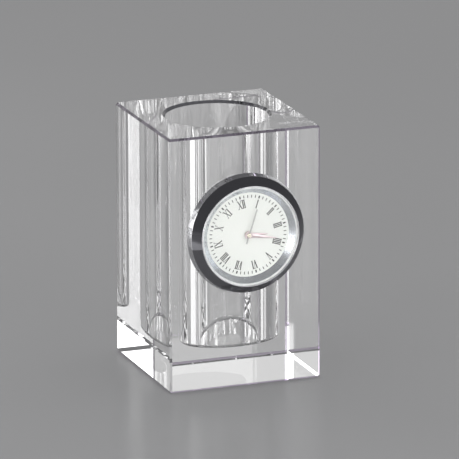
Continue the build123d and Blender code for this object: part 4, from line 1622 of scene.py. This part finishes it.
@dataclass
class GoingTrain(Part):
    """The wheels and pinions, which keep their packed teeth."""

    brass: Finish = TurnedMetal("wheel_brass", (0.80, 0.62, 0.30), roughness=0.22)
    steel: Finish = TurnedMetal("pinion_steel", (0.60, 0.61, 0.62), roughness=0.2)
    white: Finish = MouldedPlastic("gear_white", (0.75, 0.74, 0.68), roughness=0.35)

    def build(self) -> None:
        """Dresses each wheel."""
        wheels = ("hour_wheel", "minute_wheel", "centre_wheel", "third_wheel", "seconds_wheel")
        self.dress(self.brass, "wheel_brass", *wheels)
        self.dress(self.steel, "pinion_steel", "cannon_pinion", "setting_arbor", "rotor_arbor")
        self.dress(self.white, "wheel_plastic", "intermediate_wheel")


@dataclass
class StepMotor(Part):
    """The stepping motor: magnet, stator, core and the wound coil."""

    coil_x: float = 14.0
    coil_height: float = -1.3
    coil_length: float = 9.0
    coil_radius: float = 1.3
    wire: float = 0.12
    core_width: float = 1.6
    core_thickness: float = 0.8
    turn_steps: int = 28
    wire_sides: int = 6
    body_steps: int = 64
    magnet: Finish = Sintered("magnet_grey", (0.075, 0.07, 0.07))
    iron: Finish = BrushedMetal("soft_iron", (0.5, 0.5, 0.51), roughness=0.35)
    copper: Finish = EnamelledWire("enamelled_copper", (0.72, 0.30, 0.12))

    def build(self) -> None:
        """Dresses the magnet and iron and winds the coil."""
        self.dress(self.magnet, "magnet", "rotor_magnet")
        self.dress(self.iron, "soft_iron", "stator", "coil_core")
        self.place(self.coil(), self.copper, "insert", "copper_wire", "coil_winding")

    def coil(self) -> Piece:
        """Winds one layer of wire round the filled body of the coil.

        Returns:
            The coil.
        """
        grower = Grower("coil_turns")
        length, outer, wire, width, thick = grower.sizes(
            self, "coil_length", "coil_radius", "wire", "core_width", "core_thickness"
        )
        half = grower.times(wire, 0.5)
        middle = grower.less(outer, half)
        wound = grower.less(length, wire)
        helix = {
            "Resolution": self.turn_steps,
            "Rotations": grower.math("DIVIDE", wound, wire),
            "Start Radius": middle,
            "End Radius": middle,
            "Height": wound,
        }
        thread = grower.circle(half, self.wire_sides)
        sweep = {0: grower.made("CurveSpiral", helix), "Profile Curve": thread, "Fill Caps": True}
        strand = grower.moved(grower.made("CurveToMesh", sweep), grower.vector(z=half))
        core = grower.made("CurvePrimitiveQuadrilateral", {"Width": width, "Height": thick})
        body = grower.slab((grower.circle(middle, self.body_steps), core), length)
        place = grower.vector(self.coil_x, grower.times(length, -0.5), self.coil_height)
        laid = grower.moved(grower.joined(strand, body), place, (-math.pi / 2, 0, 0))
        return grower.grown("wound_coil", laid, self.copper, KNURL_CREASE)


@dataclass
class Electronics(Part):
    """The circuit board with its parts, the button cell and its contacts."""

    cell_radius: float = 5.8
    cell_back: float = -5.2
    can_front: float = -0.1
    cap_radius: float = 4.0
    cap_front: float = 0.2
    lip_width: float = 0.3
    lip_step: float = 0.2
    foot_fillet: float = 0.35
    shoulder_fillet: float = 0.45
    lip_fillet: float = 0.06
    cap_fillet: float = 0.25
    laminate: Finish = Laminate("board_green", (0.02, 0.13, 0.05))
    resin: Finish = MouldedPlastic("chip_black", (0.012, 0.012, 0.012), roughness=0.2)
    can: Finish = BrushedMetal("crystal_can", (0.75, 0.75, 0.75), roughness=0.22)
    cell: Finish = TurnedMetal("cell_can", (0.72, 0.72, 0.73), roughness=0.2, centre=CELL_PLACE)
    spring: Finish = BrushedMetal("spring_brass", (0.82, 0.70, 0.42), roughness=0.25)

    def build(self) -> None:
        """Dresses the board and contacts and turns the button cell."""
        self.dress(self.laminate, "board_laminate", "circuit_board")
        self.dress(self.resin, "chip_resin", "control_chip")
        self.dress(self.can, "crystal_can", "quartz_crystal")
        self.dress(self.spring, "contact_spring", "positive_contact", "negative_contact")
        lip, low = self.cap_radius + self.lip_width, self.can_front - self.lip_step
        cell_profile = (
            (0, self.cell_back),
            (self.cell_radius, self.cell_back, self.foot_fillet),
            (self.cell_radius, self.can_front, self.shoulder_fillet),
            (lip, self.can_front, self.lip_fillet),
            (lip, low),
            (self.cap_radius, low),
            (self.cap_radius, self.cap_front, self.cap_fillet),
            (0, self.cap_front),
        )
        cell = turned("button_cell", cell_profile, CELL_PLACE, count=128)
        self.place(cell, self.cell, "insert", "battery_can", "battery")


# The studio


@dataclass(frozen=True)
class Softbox:
    """One upright soft panel round the block; a direction of 0 degrees is right and 90 is behind."""

    name: str
    direction: float
    half_angle: float
    distance: float
    low: float
    high: float
    brightness: float

    def hang(self) -> None:
        """Hangs the panel so that it faces the block."""
        turn = math.radians(self.direction)
        data = bpy.data.lights.new(self.name, "AREA")
        data.shape = "RECTANGLE"
        data.size = 2 * self.distance * math.tan(math.radians(self.half_angle))
        data.size_y = self.high - self.low
        data.energy = self.brightness * math.pi * data.size * data.size_y
        lamp = bpy.data.objects.new(self.name, data)
        lamp.location = (*polar(self.distance, turn), (self.low + self.high) / 2)
        inward = Vector((*polar(-1, turn), 0))
        lamp.rotation_euler = inward.to_track_quat("-Z", "Y").to_euler()
        lamp.visible_camera = False
        bpy.context.scene.collection.objects.link(lamp)


@dataclass
class Studio:
    """Floor, softboxes, sky and camera."""

    floor_half: float = 8.0
    floor_level: float = -0.00003
    floor_colour: Colour = (0.30, 0.30, 0.305)
    floor_gloss: float = 0.03
    cloud_scale: float = 0.004
    cloud_contrast: float = 0.015
    mirror_index: float = 2.0
    plain_share: float = 0.72
    sheen_roughness: float = 0.2
    wall: Colour = (0.66, 0.66, 0.66)
    room: Colour = (0.14, 0.14, 0.145)
    zenith: Colour = (0.13, 0.13, 0.135)
    wall_edges: Span = (0.45, 0.75)
    horizon_end: float = 0.30
    zenith_start: float = 0.55
    sky_light: float = 0.72
    softboxes: tuple[Softbox, ...] = (
        Softbox("left_softbox", 156.5, 15.0, 0.9, 0.01, 0.42, 2.7),
        Softbox("side_strip", 175.5, 2.0, 0.9, 0.01, 0.42, 2.7),
        Softbox("side_softbox", 191.5, 9.0, 0.9, 0.01, 0.42, 2.4),
        Softbox("near_strip", -139.5, 6.5, 1.5, 0.01, 0.55, 2.2),
        Softbox("front_softbox", -71.0, 14.0, 1.1, 0.01, 0.50, 2.7),
        Softbox("right_softbox", -34, 8.5, 1.1, 0.01, 0.46, 2.2),
        Softbox("right_strip", -16.5, 3.5, 1.2, 0.01, 0.40, 1.5),
        Softbox("back_card", 103.5, 3.6, 0.52, 0.139, 0.30, 1.6),
        Softbox("high_softbox", 128, 14, 0.9, 0.45, 1.0, 1.0),
        Softbox("front_card", -122, 24, 1.1, 0.01, 0.23, 4.6),
    )
    azimuth: float = -20.45
    elevation: float = 15.75
    roll: float = -0.16
    distance: float = 2291.0
    target_x: float = 4.45
    target_z: float = 50.87
    focal_pixels: float = 6040.0
    frame_pixels: float = 459.0
    sensor: float = 36.0
    clip: Span = (0.05, 50.0)
    bounces: int = 32
    glossy_bounces: int = 12
    clear_bounces: int = 24

    def camera(self) -> None:
        """Sets the camera at the photograph's angle, distance and framing."""
        around, above, tilt = (math.radians(angle) for angle in (self.azimuth, self.elevation, self.roll))
        level = math.cos(above)
        back = Vector((math.sin(around) * level, -math.cos(around) * level, math.sin(above)))
        right = (-back).cross(Vector((0, 0, 1))).normalized()
        up = right.cross(-back)
        across, upward = polar(1, tilt)
        right, up = right * across + up * upward, -right * upward + up * across
        target = right * self.target_x + up * self.target_z
        data = bpy.data.cameras.new("camera")
        data.sensor_width = self.sensor
        data.lens = self.focal_pixels / self.frame_pixels * self.sensor
        data.clip_start, data.clip_end = self.clip
        camera = bpy.data.objects.new("camera", data)
        turn = Matrix((right, up, back)).transposed().to_4x4()
        camera.matrix_world = Matrix.Translation((target + back * self.distance) * MM) @ turn
        bpy.context.scene.collection.objects.link(camera)
        bpy.context.scene.camera = camera

    def world(self) -> None:
        """A plain sky that lights softly and shows as a grey wall, darker overhead, behind the glass."""
        world = bpy.data.worlds.new("studio")
        bpy.context.scene.world = world
        board = Board(world)
        path = board.node("LightPath").outputs
        rays = {0: path["Is Camera Ray"], 1: path["Is Glossy Ray"]}
        seen = board.made("Math", rays, operation="MAXIMUM")
        shown = board.made("Math", {0: seen, 1: path["Is Transmission Ray"]}, operation="MAXIMUM")
        direction = board.node("TexCoord").outputs["Generated"]
        parts = board.node("SeparateXYZ", {0: direction}).outputs
        around = board.shades(parts["Y"], self.room, self.wall, *self.wall_edges)
        higher = board.between(parts["Z"], 0.0, 1.0, self.horizon_end, self.zenith_start)
        colours = {"Factor": higher, "A": around, "B": (*self.zenith, 1)}
        sky = board.node("Mix", colours, data_type="RGBA").outputs["Result"]
        backdrop = board.made("Background", {"Color": sky})
        light = board.made("Background", {"Color": (1, 1, 1, 1), "Strength": self.sky_light})
        board.surface(board.either(shown, light, backdrop))

    def floor(self) -> None:
        """Lays a wide plain floor with a soft gloss just under the block."""
        mesh = bpy.data.meshes.new("floor")
        corners = [(x * self.floor_half, y * self.floor_half, self.floor_level) for x, y in ROUND_SIGNS]
        mesh.from_pydata(corners, [], [(0, 1, 2, 3)])
        floor = bpy.data.objects.new("floor", mesh)
        bpy.context.scene.collection.objects.link(floor)
        board = Board(bpy.data.materials.new("floor_board"))
        cloud = board.noise(board.world_place(), self.cloud_scale, detail=2.0)
        dark = scaled(self.floor_colour, 1 - self.cloud_contrast)
        colour = board.shades(cloud, dark, scaled(self.floor_colour, 1 + self.cloud_contrast))
        mirror = board.principled(Base_Color=colour, Roughness=self.floor_gloss, IOR=self.mirror_index)
        plain = board.made("BsdfDiffuse", {"Color": colour})
        sheen = board.principled(Base_Color=colour, Roughness=self.sheen_roughness)
        soft = board.either(self.plain_share, sheen, plain)
        seen = board.node("LightPath").outputs["Is Camera Ray"]
        floor.data.materials.append(board.surface(board.either(seen, mirror, soft)))

    def build(self) -> None:
        """Sets up the whole studio."""
        scene = bpy.context.scene
        scene.view_settings.view_transform = "Standard"
        scene.cycles.max_bounces = self.bounces
        scene.cycles.transmission_bounces = self.bounces
        scene.cycles.glossy_bounces = self.glossy_bounces
        scene.cycles.transparent_max_bounces = self.clear_bounces
        self.camera()
        self.world()
        self.floor()
        for softbox in self.softboxes:
            softbox.hang()


def main() -> None:
    """Builds every sub-assembly in order."""
    logging.basicConfig(level=logging.INFO, format="%(message)s")
    shown = (GlassBlock, Bezel, DialFace, HandSet, InsertCase)
    works = (Movement, GoingTrain, StepMotor, Electronics)
    for kind in (*shown, *works, Studio):
        LOG.info("building %s", kind.__name__)
        kind().build()


if __name__ == "__main__":
    main()
